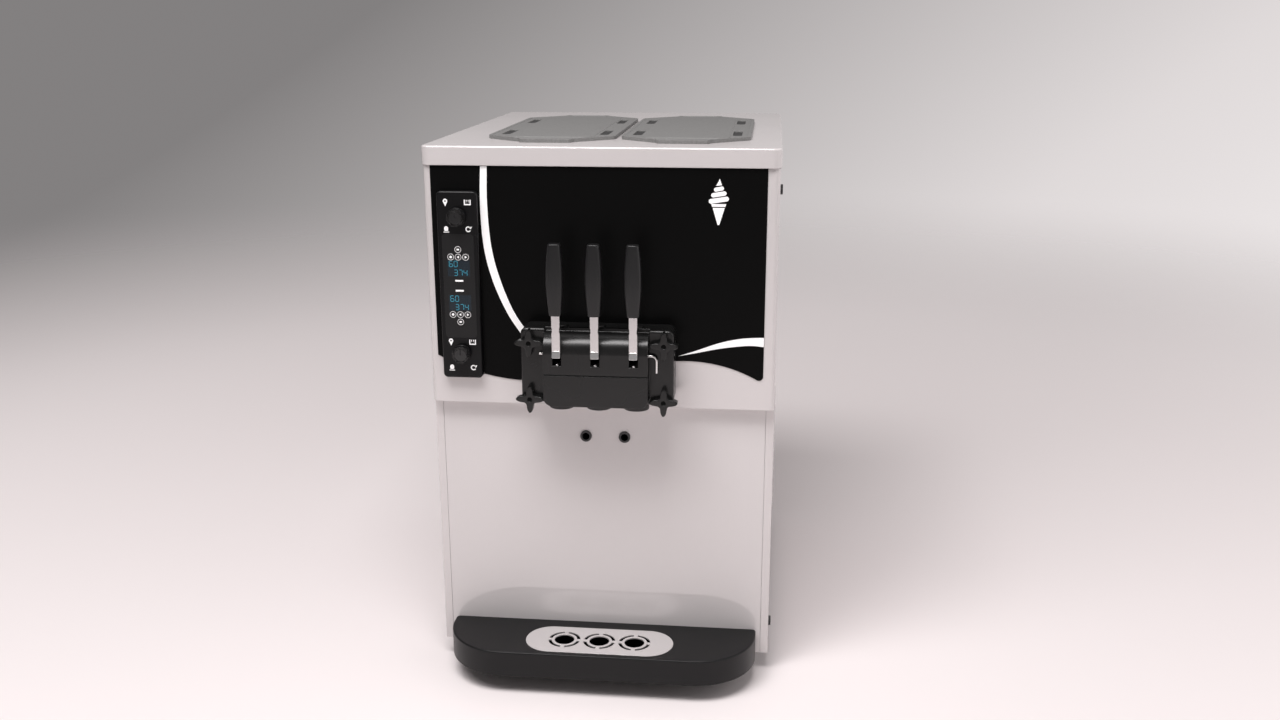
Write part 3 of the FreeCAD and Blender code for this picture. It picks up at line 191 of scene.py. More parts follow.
print("shader helpers ready")

# %% [markdown]
# ## Sheet steel
# The cover and panels are satin stainless. Real brushing is thousands of fine upright scratches:
# they hardly show as lines, but they spread a reflection sideways and mottle it. Noise stretched
# along the sheet gives the scratches, and a slow noise gives the handling marks. The lower front
# panel is almost a mirror, so it gets the same recipe with hardly any roughness or grain, and the
# tray shows in it. The table gives each metal its colour, roughness, scratches and grain depth, how
# metallic it is and, at the end, how far its roughness wanders.

# %% Brushed, polished and plain metals
finishes = {}


def tinted(colour, amount):
    return tuple(channel * amount for channel in colour) + (1,)


def brushed_steel(name, colour, roughness, scratch, grain_depth, metallic, spread=1.0):
    steel = Finish(name, colour, roughness, metallic)
    lines = steel.noise(1.0, 2.0, scratch)
    cloud = steel.noise(7.0, 3.0)
    mottle = lines * 0.5 + cloud * 0.5
    steel.feed("Base Color", steel.blend(tinted(colour, 0.97), tinted(colour, 1.03), mottle))
    steel.feed("Roughness", roughness + (lines * 0.03 + cloud * 0.05 - 0.04) * spread)
    steel.bump(lines, grain_depth)
    return steel.material


METALS = {
    "stainless_brushed": ("satin_sheet_steel", (0.665, 0.635, 0.635), 0.2, (1500, 1500, 90), 2e-7, 0.17),
    "panel_steel": ("bright_panel_steel", (0.68, 0.65, 0.65), 0.012, (1500, 1500, 90), 5e-9, 0.05, 0.1),
    "grille_steel": ("grille_steel", (0.66, 0.635, 0.635), 0.24, (900, 900, 900), 2e-7, 0.4),
    "stainless_polished": ("polished_steel", (0.74, 0.73, 0.72), 0.14, (300, 300, 60), 1e-6, 1.0),
    "lever_steel": ("lever_strip_steel", (0.76, 0.74, 0.74), 0.22, (2500, 2500, 60), 5e-7, 1.0),
    "aluminium_fins": ("fin_aluminium", (0.7, 0.71, 0.72), 0.35, (200, 900, 900), 3e-6, 1.0),
    "copper": ("drawn_copper", (0.72, 0.38, 0.24), 0.28, (400, 400, 400), 2e-6, 1.0)}
for key, recipe in METALS.items():
    finishes[key] = brushed_steel(*recipe)

zinc = Finish("zinc_coated_sheet", (0.55, 0.57, 0.58), 0.42, 0.9)
spangle = zinc.add("ShaderNodeTexVoronoi", None, {"Vector": zinc.place(), "Scale": 130.0}, "Color")
flake = zinc.add("ShaderNodeSeparateColor", None, {"Color": spangle})
zinc.feed("Base Color", zinc.blend((0.47, 0.49, 0.5, 1), (0.62, 0.64, 0.65, 1), flake))
zinc.feed("Roughness", 0.34 + flake * 0.16)
finishes["galvanised"] = zinc.material
print("metals", sorted(finishes))

# %% [markdown]
# ## Mouldings and coatings
# The head, grips and tray are moulded in dark plastic with a spark-eroded grain: a shallow pebble
# a fraction of a millimetre across. One recipe makes all of them, with the grain's size and
# depth, a slow drift in the gloss, and a colour that lifts a little where the grain is high.
# Rubber, foam and paint have a grain too, so they are rows of the same table.

# %% Moulded plastics, rubber and paint
def moulded(name, colour, roughness, grain, depth, fixed=None, lift=0.25):
    plastic = Finish(name, colour, roughness, 0.0, fixed)
    pebble = plastic.noise(grain, 2.0)
    drift = plastic.noise(14.0, 2.0)
    plastic.feed("Base Color", plastic.blend(tinted(colour, 1 - lift), tinted(colour, 1 + lift), pebble))
    plastic.feed("Roughness", roughness - 0.05 + drift * 0.1)
    plastic.bump(pebble, depth)
    return plastic.material


def gloss(level):
    """How strongly a moulding reflects; 0.5 is ordinary plastic."""
    return {"Specular IOR Level": level}


LOW_GLOSS, SOFT_GLOSS = gloss(0.3), gloss(0.42)
# Painted light: white print gets a faint emission, so it shows brighter than the lamps alone make it.
PAINTED_PRINT_GLOW = {"Emission Color": (1, 1, 1, 1), "Emission Strength": 0.16}
MOULDINGS = {
    "head_black": ("head_moulding", (0.0075, 0.0075, 0.0075), 0.27, 1500.0, 1.2e-5, SOFT_GLOSS),
    "module_grey": ("module_moulding", (0.0045, 0.0045, 0.005), 0.28, 2200.0, 6.0e-6, gloss(0.22)),
    "display_face": ("display_window", (0.011, 0.011, 0.0115), 0.3, 900.0, 1.0e-6, LOW_GLOSS),
    "lid_grey": ("lid_moulding", (0.18, 0.18, 0.177), 0.5, 520.0, 6.0e-5, None, 0.42),
    "tray_grey": ("tray_moulding", (0.0045, 0.0045, 0.005), 0.4, 1300.0, 2.0e-5, LOW_GLOSS),
    "black_print": ("printed_film", (0.0032, 0.0032, 0.0032), 0.3, 2600.0, 1.0e-6, gloss(0.06)),
    "black_rubber": ("black_rubber", (0.016, 0.016, 0.016), 0.62, 700.0, 3.0e-5),
    "seal_red": ("red_silicone", (0.35, 0.05, 0.04), 0.5, 800.0, 1.0e-5, None, 0.1),
    "foam": ("closed_cell_foam", (0.05, 0.05, 0.05), 0.85, 420.0, 2.0e-4, None, 0.4),
    "machine_paint": ("black_enamel", (0.02, 0.02, 0.022), 0.3, 260.0, 2.0e-5),
    "motor_paint": ("blue_grey_enamel", (0.1, 0.14, 0.18), 0.36, 260.0, 2.0e-5),
    "screw_black": ("black_coated_steel", (0.02, 0.02, 0.021), 0.3, 1600.0, 1.0e-5),
    "key_black": ("key_moulding", (0.014, 0.014, 0.015), 0.35, 2200.0, 6.0e-6, LOW_GLOSS),
    "white_print": ("white_print", (0.9, 0.9, 0.9), 0.4, 2600.0, 1.0e-6, PAINTED_PRINT_GLOW, 0.04)}
for key, recipe in MOULDINGS.items():
    finishes[key] = moulded(*recipe)
print("finishes", len(finishes))

# %% [markdown]
# Each node of the frame takes the finish that the record names for it.

# %% Dress the frame
slot_of = {part["node"]: part["material_slot"] for part in frame["record"]["subparts"]}
for name, node in nodes.items():
    node.data.materials.clear()
    node.data.materials.append(finishes[slot_of[name]])
print("dressed", len(slot_of), "nodes")

# %% [markdown]
# ## Small radii
# No sheet or moulding has a knife edge: a deburred edge is about 0.3 mm round and a moulded one
# 1 mm, and that thin line of light is what makes an edge look real. The frame's meshes are loose
# triangles, so a copy is welded, its flat faces are joined, and a bevel rounds what is sharp.
# The copy then stands for its node, and the node itself stays as it was.

# %% Pieces and eased copies
def add_piece(name, mesh, finish, body, stands_for=()):
    """Puts a finished mesh on a body, with the finish it shows."""
    mesh.materials.clear()
    mesh.materials.append(finishes[finish])
    piece = bpy.data.objects.new(name, mesh)
    scene.collection.objects.link(piece)
    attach(piece, body)
    if stands_for:
        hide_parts(*stands_for)
    return piece


def settle(mesh, width=0.0, segments=2, angle=30.0):
    """Rounds the sharp edges of a mesh and smooths the rest; the result is a plain mesh."""
    mesh.polygons.foreach_set("use_smooth", [True] * len(mesh.polygons))
    holder = bpy.data.objects.new("holder", mesh)
    scene.collection.objects.link(holder)
    if width:
        bevel = holder.modifiers.new("edge radius", "BEVEL")
        bevel.width, bevel.segments, bevel.angle_limit = width, segments, math.radians(angle)
        bevel.use_clamp_overlap = False
    else:
        mesh.set_sharp_from_angle(angle=math.radians(angle))
    even = holder.modifiers.new("even shading", "WEIGHTED_NORMAL")
    even.keep_sharp = True
    result = bpy.data.meshes.new_from_object(holder.evaluated_get(bpy.context.evaluated_depsgraph_get()))
    bpy.data.objects.remove(holder)
    return result


def body_of(node):
    return nodes[node]["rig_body"]


def welded(node):
    """A copy of a frame mesh with its points merged and its flat faces joined."""
    work = bmesh.new()
    work.from_mesh(nodes[node].data)
    bmesh.ops.remove_doubles(work, verts=work.verts, dist=2e-6)
    bmesh.ops.dissolve_degenerate(work, edges=work.edges, dist=1e-6)
    bmesh.ops.dissolve_limit(work, angle_limit=math.radians(1.0), verts=work.verts, edges=work.edges)
    mesh = bpy.data.meshes.new(node + "_eased")
    work.to_mesh(mesh)
    work.free()
    return mesh


def eased(node, width, finish):
    mesh = settle(welded(node), width * MM)
    slot = slot_of[node]
    return add_piece(node + "_eased", mesh, finish or slot, body_of(node), (node,))


# %% [markdown]
# ## Cover, panels and mouldings
# These nodes already have the right shape, so they only get their edges: 0.2 to 0.45 mm on sheet,
# strip and tube, 0.5 to 1.1 mm on mouldings, screws, feet and the pressed cover. A folded sheet
# has no sharp edge either.

# %% Ease the outside
EDGES = {
    "top_cover": 1.0, "upper_front_panel": 0.4, "lower_front_panel": 0.4, "side_panel_left": 0.35,
    "side_panel_right": 0.35, "rear_panel": 0.35, "front_graphic_panel": 0.2, "dispensing_head": 1.1,
    "drip_tray": 0.6, "pivot_rod": 0.0, "drain_tubes": 0.4, "cable_gland": 0.4, "panel_screws": 0.7,
    "levelling_feet": 0.6, "hoppers": 0.3, "hopper_lid_left": 0.5, "hopper_lid_right": 0.5,
    "feed_tube_left": 0.3, "feed_tube_right": 0.3}
SHINE = {"lower_front_panel": "panel_steel"}
LEVER_EDGE, PISTON_EDGE = 0.45, 0.3
for node, width in EDGES.items():
    piece = eased(node, width, SHINE.get(node))
    print(node, len(piece.data.polygons), "faces")
for place in ("left", "centre", "right"):
    eased("draw_lever_" + place, LEVER_EDGE, "lever_steel")
    eased("piston_" + place, PISTON_EDGE, "head_black")

# %% [markdown]
# ## Lever grips
# Each grip is a moulded handle on the flat strip. Its section is a soft rectangle that swells
# below the middle and narrows to a flat top. A stack of such sections, joined and then
# subdivided, follows that better than any primitive: each station states its height and size.

# %% Stack of sections
def stack(name, stations, point_at, count):
    """Joins rings of points into a closed skin; point_at(station, angle) gives one point."""
    work = bmesh.new()
    rings = [[work.verts.new(point_at(station, 2 * math.pi * step / count)) for step in range(count)]
             for station in stations]
    for low, high in zip(rings, rings[1:]):
        for step in range(count):
            after = (step + 1) % count
            work.faces.new((low[step], low[after], high[after], high[step]))
    work.faces.new(list(reversed(rings[0])))
    work.faces.new(rings[-1])
    bmesh.ops.recalc_face_normals(work, faces=work.faces)
    mesh = bpy.data.meshes.new(name)
    work.to_mesh(mesh)
    work.free()
    return mesh


def soft_rectangle(half_width, half_depth, angle, fullness=3.4):
    """A point of a superellipse; a higher fullness gives squarer corners."""
    reach = (abs(math.cos(angle)) ** fullness + abs(math.sin(angle)) ** fullness) ** (-1 / fullness)
    return half_width * reach * math.cos(angle), half_depth * reach * math.sin(angle)


# share of the grip's height, then its width and depth there in mm
GRIP_STATIONS = (
    (0.0, 16.2, 12.0), (0.006, 17.8, 13.5), (0.03, 18.4, 14.2), (0.14, 20.2, 15.6), (0.28, 23.3, 17.6),
    (0.42, 24.8, 18.9), (0.56, 24.9, 19.0), (0.7, 23.8, 18.4), (0.84, 21.2, 17.0), (0.95, 18.9, 15.6),
    (0.985, 18.0, 15.0), (0.997, 16.4, 13.6), (1.0, 13.4, 10.8))
POINTS_ROUND_GRIP = 40


def lever_grip(node):
    low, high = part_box(node)
    middle = (low + high) / 2
    height = high.z - low.z

    def point(station, angle):
        share, width, depth = station
        x, y = soft_rectangle(width * MM / 2, depth * MM / 2, angle)
        return middle.x + x, middle.y + y, low.z + share * height

    mesh = settle(stack(node + "_moulding", GRIP_STATIONS, point, POINTS_ROUND_GRIP), angle=60)
    piece = add_piece(node + "_moulding", mesh, "grip_black", body_of(node), (node,))
    soften = piece.modifiers.new("soft form", "SUBSURF")
    soften.levels = soften.render_levels = 1
    return piece


finishes["grip_black"] = moulded("grip_moulding", (0.01, 0.01, 0.0105), 0.32, 1100.0, 1.2e-5, SOFT_GLOSS)
for place in ("left", "centre", "right"):
    print(lever_grip("lever_grip_" + place).name)

# %% [markdown]
# ## Printed marks
# The film on the front carries two white sweeps, and the module carries small signs beside its
# knobs. Print has almost no thickness, so each mark is a flat curve filled by Blender, which also
# cuts its holes, given 0.1 mm of thickness and made a mesh before it is stood up on its face.

# %% Flat marks
def flat_mark(name, outlines, thickness):
    """Fills closed outlines given in mm, x right and z up; an outline inside another is a hole."""
    curve = bpy.data.curves.new(name, "CURVE")
    curve.dimensions, curve.fill_mode, curve.extrude = "2D", "BOTH", thickness * MM / 2
    for outline in outlines:
        spline = curve.splines.new("POLY")
        spline.points.add(len(outline) - 1)
        for point, (x, z) in zip(spline.points, outline):
            point.co = (x * MM, z * MM, 0, 1)
        spline.use_cyclic_u = True
    holder = bpy.data.objects.new(name, curve)
    scene.collection.objects.link(holder)
    mesh = bpy.data.meshes.new_from_object(holder.evaluated_get(bpy.context.evaluated_depsgraph_get()))
    bpy.data.objects.remove(holder)
    mesh.transform(Matrix.Rotation(math.pi / 2, 4, "X"))
    return mesh


def print_mark(name, outlines, place, finish="white_print", body="machine",
               thickness=0.1):
    """Prints outlines on an upright face; place is the mark's middle on that face."""
    mesh = flat_mark(name, outlines, thickness)
    mesh.transform(Matrix.Translation(place - Vector((0, thickness * MM / 2, 0))))
    return add_piece(name, mesh, finish, body)


def arc(radius, start=0.0, end=360.0, count=24, centre=(0.0, 0.0)):
    turn_by = (end - start) / (count if abs(end - start) >= 360 else count - 1)
    return [(centre[0] + radius * math.cos(math.radians(start + turn_by * step)),
             centre[1] + radius * math.sin(math.radians(start + turn_by * step))) for step in range(count)]


def bent(points, count=28):
    """A smooth line through a few points, ends included."""
    padded = [points[0]] + list(points) + [points[-1]]
    line = []
    for before, start, end, after in zip(padded, padded[1:], padded[2:], padded[3:]):
        for step in range(count // (len(points) - 1)):
            t = step * (len(points) - 1) / count
            line.append(tuple(0.5 * (2 * b + (c - a) * t + (2 * a - 5 * b + 4 * c - d) * t * t
                                     + (3 * b - a - 3 * c + d) * t ** 3)
                              for a, b, c, d in zip(before, start, end, after)))
    return line + [points[-1]]


FILM_FRONT = (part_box("front_graphic_panel")[0].y - FRONT) / MM
LONG_SWEEP_LEFT = ((-172.4, -29.0), (-174.4, -84.0), (-171.2, -145.0), (-159.6, -196.0),
                   (-139.6, -244.0), (-119.4, -276.0))
LONG_SWEEP_RIGHT = ((-113.0, -268.0), (-130.4, -240.0), (-148.6, -193.0), (-159.8, -145.0),
                    (-163.9, -84.0), (-162.6, -29.0))
SHORT_SWEEP_TOP = ((115.6, -304.4), (140.0, -296.2), (178.0, -282.4), (209.6, -275.6), (240.4, -273.6))
SHORT_SWEEP_LOW = ((240.4, -287.6), (217.5, -286.4), (178.0, -291.4), (140.0, -299.6), (115.6, -304.6))
SWEEP_THICKNESS = 0.12
film = at(0, FILM_FRONT, 0)
for name, one_edge, other_edge in (("long_sweep", LONG_SWEEP_LEFT, LONG_SWEEP_RIGHT),
                                   ("short_sweep", SHORT_SWEEP_TOP, SHORT_SWEEP_LOW)):
    print_mark(name, [bent(one_edge) + bent(other_edge)], film, thickness=SWEEP_THICKNESS)
    print(name, "drawn")

# %% [markdown]
# The upper right corner of the film carries a plain sign for soft ice cream: three swirls of
# falling width, a tip and a cone. It is a general sign and belongs to nobody.

# %% Cone sign
def swirl(width, height, base):
    """One rolled layer: a capsule that tilts a little, as the ribbon does."""
    half, radius = width / 2 - height / 2, height / 2
    right = [(half + x, base + radius + z + 0.06 * width) for x, z in arc(radius, -90, 90, 10)]
    left = [(x - half, base + radius + z - 0.06 * width) for x, z in arc(radius, 90, 270, 10)]
    return right + left


cone = [[(-8.6, 0.0), (8.6, 0.0), (7.6, -3.2), (-7.6, -3.2)],
        [(-6.9, -4.4), (6.9, -4.4), (1.0, -24.0), (-1.0, -24.0)]]
layers = [swirl(23.0, 5.6, 1.6), swirl(17.5, 5.2, 8.4), swirl(11.5, 4.8, 14.6)]
tip = [(-3.4, 20.6), (3.4, 21.4), (2.4, 24.4), (0.9, 28.6), (-0.9, 24.8)]
SIGN_SIZE, SIGN_X, SIGN_DROP = 1.25, 171.5, 79
sign = [[(x * SIGN_SIZE, z * SIGN_SIZE) for x, z in outline] for outline in cone + layers + [tip]]
print_mark("cone_sign", sign, at(SIGN_X, FILM_FRONT, SIGN_DROP))
print("cone sign of", len(sign), "outlines")


# %% [markdown]
# ## Plates with rounded rims
# The module's case, its window, the knobs, the keys and the star nuts are all outlines pushed
# forward and rounded at the front. One helper stacks an outline at several depths, each drawn in
# a little, so the roundness is real geometry and each rim catches the light.

# %% Outlines and rims
def rounded_outline(half_width, half_height, radius, steps=6):
    """Corner arcs of a rectangle, anticlockwise, in mm."""
    points = []
    for x, z, start in ((1, 1, 0), (-1, 1, 90), (-1, -1, 180), (1, -1, 270)):
        centre = (x * (half_width - radius), z * (half_height - radius))
        points += arc(radius, start, start + 90, steps, centre)
    return points


def drawn_in(outline, distance):
    """The outline moved inwards by a distance, along the normals of its corners."""
    moved = []
    for before, here, after in zip(outline[-1:] + outline[:-1], outline, outline[1:] + outline[:1]):
        first = Vector((here[0] - before[0], here[1] - before[1])).normalized()
        second = Vector((after[0] - here[0], after[1] - here[1])).normalized()
        normal = Vector((-first.y - second.y, first.x + second.x)).normalized()
        slant = max(0.35, normal.dot(Vector((-first.y, first.x))))
        moved.append((here[0] + normal.x * distance / slant, here[1] + normal.y * distance / slant))
    return moved


def pierced(mesh, holes):
    """Cuts round holes through a plate; each hole is x, z, radius, front and back in mm."""
    drills = bmesh.new()
    for x, z, radius, front, back in holes:
        bmesh.ops.create_cone(drills, cap_ends=True, segments=32, radius1=radius * MM, radius2=radius * MM,
                              depth=(back - front) * MM,
                              matrix=Matrix.Translation((x * MM, (front + back) / 2 * MM, z * MM)) @ STAND)
    drill_mesh = bpy.data.meshes.new("drills")
    drills.to_mesh(drill_mesh)
    drills.free()
    drill, holder = bpy.data.objects.new("drills", drill_mesh), bpy.data.objects.new("pierced", mesh)
    for item in (drill, holder):
        scene.collection.objects.link(item)
    cut = holder.modifiers.new("holes", "BOOLEAN")
    cut.object, cut.operation, cut.solver = drill, "DIFFERENCE", "EXACT"
    result = bpy.data.meshes.new_from_object(holder.evaluated_get(bpy.context.evaluated_depsgraph_get()))
    bpy.data.objects.remove(holder)
    bpy.data.objects.remove(drill)
    return result


STAND = Matrix.Rotation(math.pi / 2, 4, "X")


def rimmed(name, outline, back, front, radius, steps, holes=()):
    """A plate that faces the user: a straight wall from back to front, then a rounded rim."""
    levels = [(0.0, back), (0.0, front + radius)]
    for step in range(1, steps + 1):
        turn_by = math.pi / 2 * step / steps
        levels.append((radius * (1 - math.cos(turn_by)), front + radius * (1 - math.sin(turn_by))))

    def point(level, angle):
        ring = drawn_in(outline, level[0])
        x, z = ring[round(angle / (2 * math.pi) * len(outline)) % len(outline)]
        return x * MM, level[1] * MM, z * MM

    mesh = stack(name, levels, point, len(outline))
    return settle(pierced(mesh, holes) if holes else mesh, angle=50)


def depth_of(node, side=0):
    """How far behind the cover's front a node begins (side 0) or ends (side 1), in mm."""
    return (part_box(node)[side].y - FRONT) / MM


def set_at(mesh, x, drop):
    mesh.transform(Matrix.Translation(at(x, 0, drop)))
    return mesh


def spot_of(node):
    """The middle of a node as x and drop in mm."""
    middle = middle_of(node)
    return middle.x / MM, (TOP - middle.z) / MM


# %% [markdown]
# ## The control module
# A narrow case stands on the film: two knobs, a dark window with eight round keys and, behind the
# window, two small displays. The case has well rounded edges, which is where its upper rim turns
# light, and the window lies almost flush in it. Both are drilled under the keys, so that a key
# has somewhere to go when it is pressed.

# %% Case and window
case_low, case_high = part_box("control_housing")
module_x, module_drop = spot_of("control_housing")
CASE_HALF = ((case_high.x - case_low.x) / MM / 2, (case_high.z - case_low.z) / MM / 2)
case_front = depth_of("control_housing")
CASE_CORNER, CASE_RIM = 6.5, 3.2
WINDOW_HALF, WINDOW_CORNER, WINDOW_PROUD = (23.6, 77.6), 5.0, 0.12
KEY_RADIUS, KEY_GAP, KEY_TRAVEL, KEY_SEAT = 5.2, 0.15, 1.0, 1.0
HOLE_START, HOLE_SPARE = 1.0, 0.4
key_holes = []
for index in range(8):
    x, drop = spot_of("control_key_%d" % (index + 1))
    key_holes.append((x - module_x, module_drop - drop, KEY_RADIUS + KEY_GAP, case_front - HOLE_START,
                      case_front + KEY_SEAT + KEY_TRAVEL + HOLE_SPARE))
case = rimmed("control_case", rounded_outline(*CASE_HALF, CASE_CORNER, 7), FILM_FRONT, case_front,
              CASE_RIM, 6, key_holes)
add_piece("control_case", set_at(case, module_x, module_drop), "module_grey", "machine",
          ("control_housing",))
window = rimmed("display_window", rounded_outline(*WINDOW_HALF, WINDOW_CORNER, 5), case_front + 1.5,
                case_front - WINDOW_PROUD, WINDOW_PROUD, 2, key_holes)
add_piece("display_window", set_at(window, module_x, module_drop), "display_face", "machine",
          ("control_face",))
print("case half size %.1f by %.1f mm" % CASE_HALF)

# %% [markdown]
# The signs beside the knobs are a place pin, an open tub, a filled cup and a round arrow: the
# four steps of the day's work, drawn plainly.

# %% Signs
PIN = [[(x, z + 1.6) for x, z in arc(3.4, -35, 215, 18)] + [(0.0, -6.0)],
       arc(1.3, count=12, centre=(0, 1.6))]
TUB = [[(-5, 4), (-5, -4), (5, -4), (5, 4), (3.4, 4), (3.4, -2.2), (-3.4, -2.2), (-3.4, 4)],
       [(-2.2, 3.6), (-0.8, 3.6), (-1.5, -0.8)], [(0.8, 3.6), (2.2, 3.6), (1.5, -0.8)]]
CUP = [[(x, z + 0.9) for x, z in arc(3.1, -10, 190, 16)] + [(-2.6, -3.0), (2.6, -3.0)],
       [(-4.2, -4.0), (4.2, -4.0), (4.2, -5.2), (-4.2, -5.2)]]
LOOP = [arc(4.2, 30, 330, 26) + arc(2.5, 330, 30, 22), [(1.6, 3.4), (5.6, 3.6), (3.6, -0.2)]]
SIGN_COLUMNS = (-223.1, -190.4)
SIGN_ROWS = ((80.0, PIN, TUB), (119.0, CUP, LOOP), (288.3, PIN, TUB), (327.5, CUP, LOOP))
number = 0
for drop, *signs in SIGN_ROWS:
    for x, outlines in zip(SIGN_COLUMNS, signs):
        number += 1
        print_mark("sign_%d" % number, outlines, at(x, case_front, drop))
print("signs", number)

# %% [markdown]
# ## Displays
# Each display is two rows of seven-segment figures in dim blue-green. A figure is a choice of
# seven bars, so a table of which bars are lit writes any number. The bars glow a little: their
# finish has emission and the dark pane behind them has a trace of it.

# %% Figures
glow = Finish("display_glow", (0.02, 0.12, 0.16), 0.4, 0.0, {"Emission Strength": 1.0})
glow.feed("Emission Color", glow.blend((0.018, 0.16, 0.23, 1), (0.03, 0.24, 0.33, 1), glow.noise(1500.0)))
finishes["display_glow"] = glow.material
pane = Finish("display_pane", (0.004, 0.008, 0.011), 0.25, 0.0, {"Emission Strength": 1.0})
pane.feed("Emission Color",
          pane.blend((0.0003, 0.002, 0.005, 1), (0.0008, 0.007, 0.013, 1), pane.noise(160.0)))
finishes["display_pane"] = pane.material
BARS = {"top": (0, 1, 0), "top_left": (-1, 0.5, 1), "top_right": (1, 0.5, 1), "middle": (0, 0, 0),
        "low_left": (-1, -0.5, 1), "low_right": (1, -0.5, 1), "low": (0, -1, 0)}
LIT = {"0": "top top_left top_right low_left low_right low",
       "6": "top top_left middle low_left low_right low",
       "3": "top top_right middle low_right low", "7": "top top_right low_right",
       "4": "top_left top_right middle low_right"}
FIGURE_WIDTH, FIGURE_HEIGHT, FIGURE_PITCH, STROKE, BAR_GAP = 4.8, 8.4, 7.2, 0.8, 0.25


def figure(sign, x, z):
    """The lit bars of one figure as pointed outlines."""
    outlines = []
    for bar in LIT[sign].split():
        across, up, upright = BARS[bar]
        centre = (x + across * FIGURE_WIDTH / 2, z + up * FIGURE_HEIGHT / 2)
        half = (FIGURE_HEIGHT / 2 if upright else FIGURE_WIDTH) / 2 - BAR_GAP
        line = [(-half, 0), (STROKE / 2 - half, -STROKE / 2), (half - STROKE / 2, -STROKE / 2), (half, 0),
                (half - STROKE / 2, STROKE / 2), (STROKE / 2 - half, STROKE / 2)]
        outlines.append([(centre[0] - v, centre[1] + u) if upright else (centre[0] + u, centre[1] + v)
                         for u, v in line])
    return outlines


# %% Two displays and two bars
PANE_HALF, PANE_MARGIN, INK, FIGURES_PROUD = 16.5, 5.5, 0.05, 0.06


def box_outline(half_width, low, high):
    return [(-half_width, low), (half_width, low), (half_width, high), (-half_width, high)]


def display(name, drop_first, drop_second):
    outlines = []
    for row, start, drop in (("60", -11.6, drop_first), ("374", -4.6, drop_second)):
        for place, sign in enumerate(row):
            outlines += figure(sign, start + FIGURE_PITCH * place, -drop)
    window_front = at(module_x, case_front - WINDOW_PROUD, 0)
    print_mark(name + "_figures", outlines, window_front - Vector((0, FIGURES_PROUD * MM, 0)),
               "display_glow", thickness=INK)
    pane_outline = box_outline(PANE_HALF, -drop_second - PANE_MARGIN, -drop_first + PANE_MARGIN)
    print_mark(name + "_pane", [pane_outline], window_front, "display_pane", thickness=INK)


display("upper_display", 170.5, 183.5)
display("lower_display", 222.5, 235.2)
for number, drop in enumerate((195.5, 210.4)):
    print_mark("display_bar_%d" % (number + 1), [box_outline(6.0, -1.3, 1.3)],
               at(module_x, case_front - WINDOW_PROUD, drop))
print("figures drawn")

# %% [markdown]
# ## Keys
# A key is a small round cap with a printed ring and a sign. The cap starts 1 mm inside the case,
# in its drilled hole, so the gap round it stays closed to the eye at rest and when it is pressed.

# %% Keys
SMALL_SIGNS = ([[(-2.2, 0.0), (1.3, 2.2), (1.3, -2.2)]], [[(2.2, 0.0), (-1.3, 2.2), (-1.3, -2.2)]],
               [arc(2.0, count=14)], [box_outline(1.9, -1.3, 1.3)])
KEY_RIM, RING_OUTER, RING_INNER = 0.6, 4.8, 4.25
ring = [arc(RING_OUTER, count=32), arc(RING_INNER, count=32)]
for index in range(8):
    node = "control_key_%d" % (index + 1)
    x, drop = spot_of(node)
    front = depth_of(node)
    cap = rimmed(node + "_cap", arc(KEY_RADIUS, count=32), case_front + KEY_SEAT, front, KEY_RIM, 3)
    add_piece(node + "_cap", set_at(cap, x, drop), "key_black", node, (node,))
    sign = SMALL_SIGNS[(3, 2, 0, 1)[index % 4]]
    print_mark(node + "_sign", ring + sign, at(x, front, drop), body=node, thickness=0.06)
print("8 keys")


# %% [markdown]
# ## Geometry Nodes recipes
# A recipe is a small node tree with named sizes. `grown` runs a recipe on an empty object, gives
# every size to its socket before the first evaluation, and returns the result as a plain mesh.

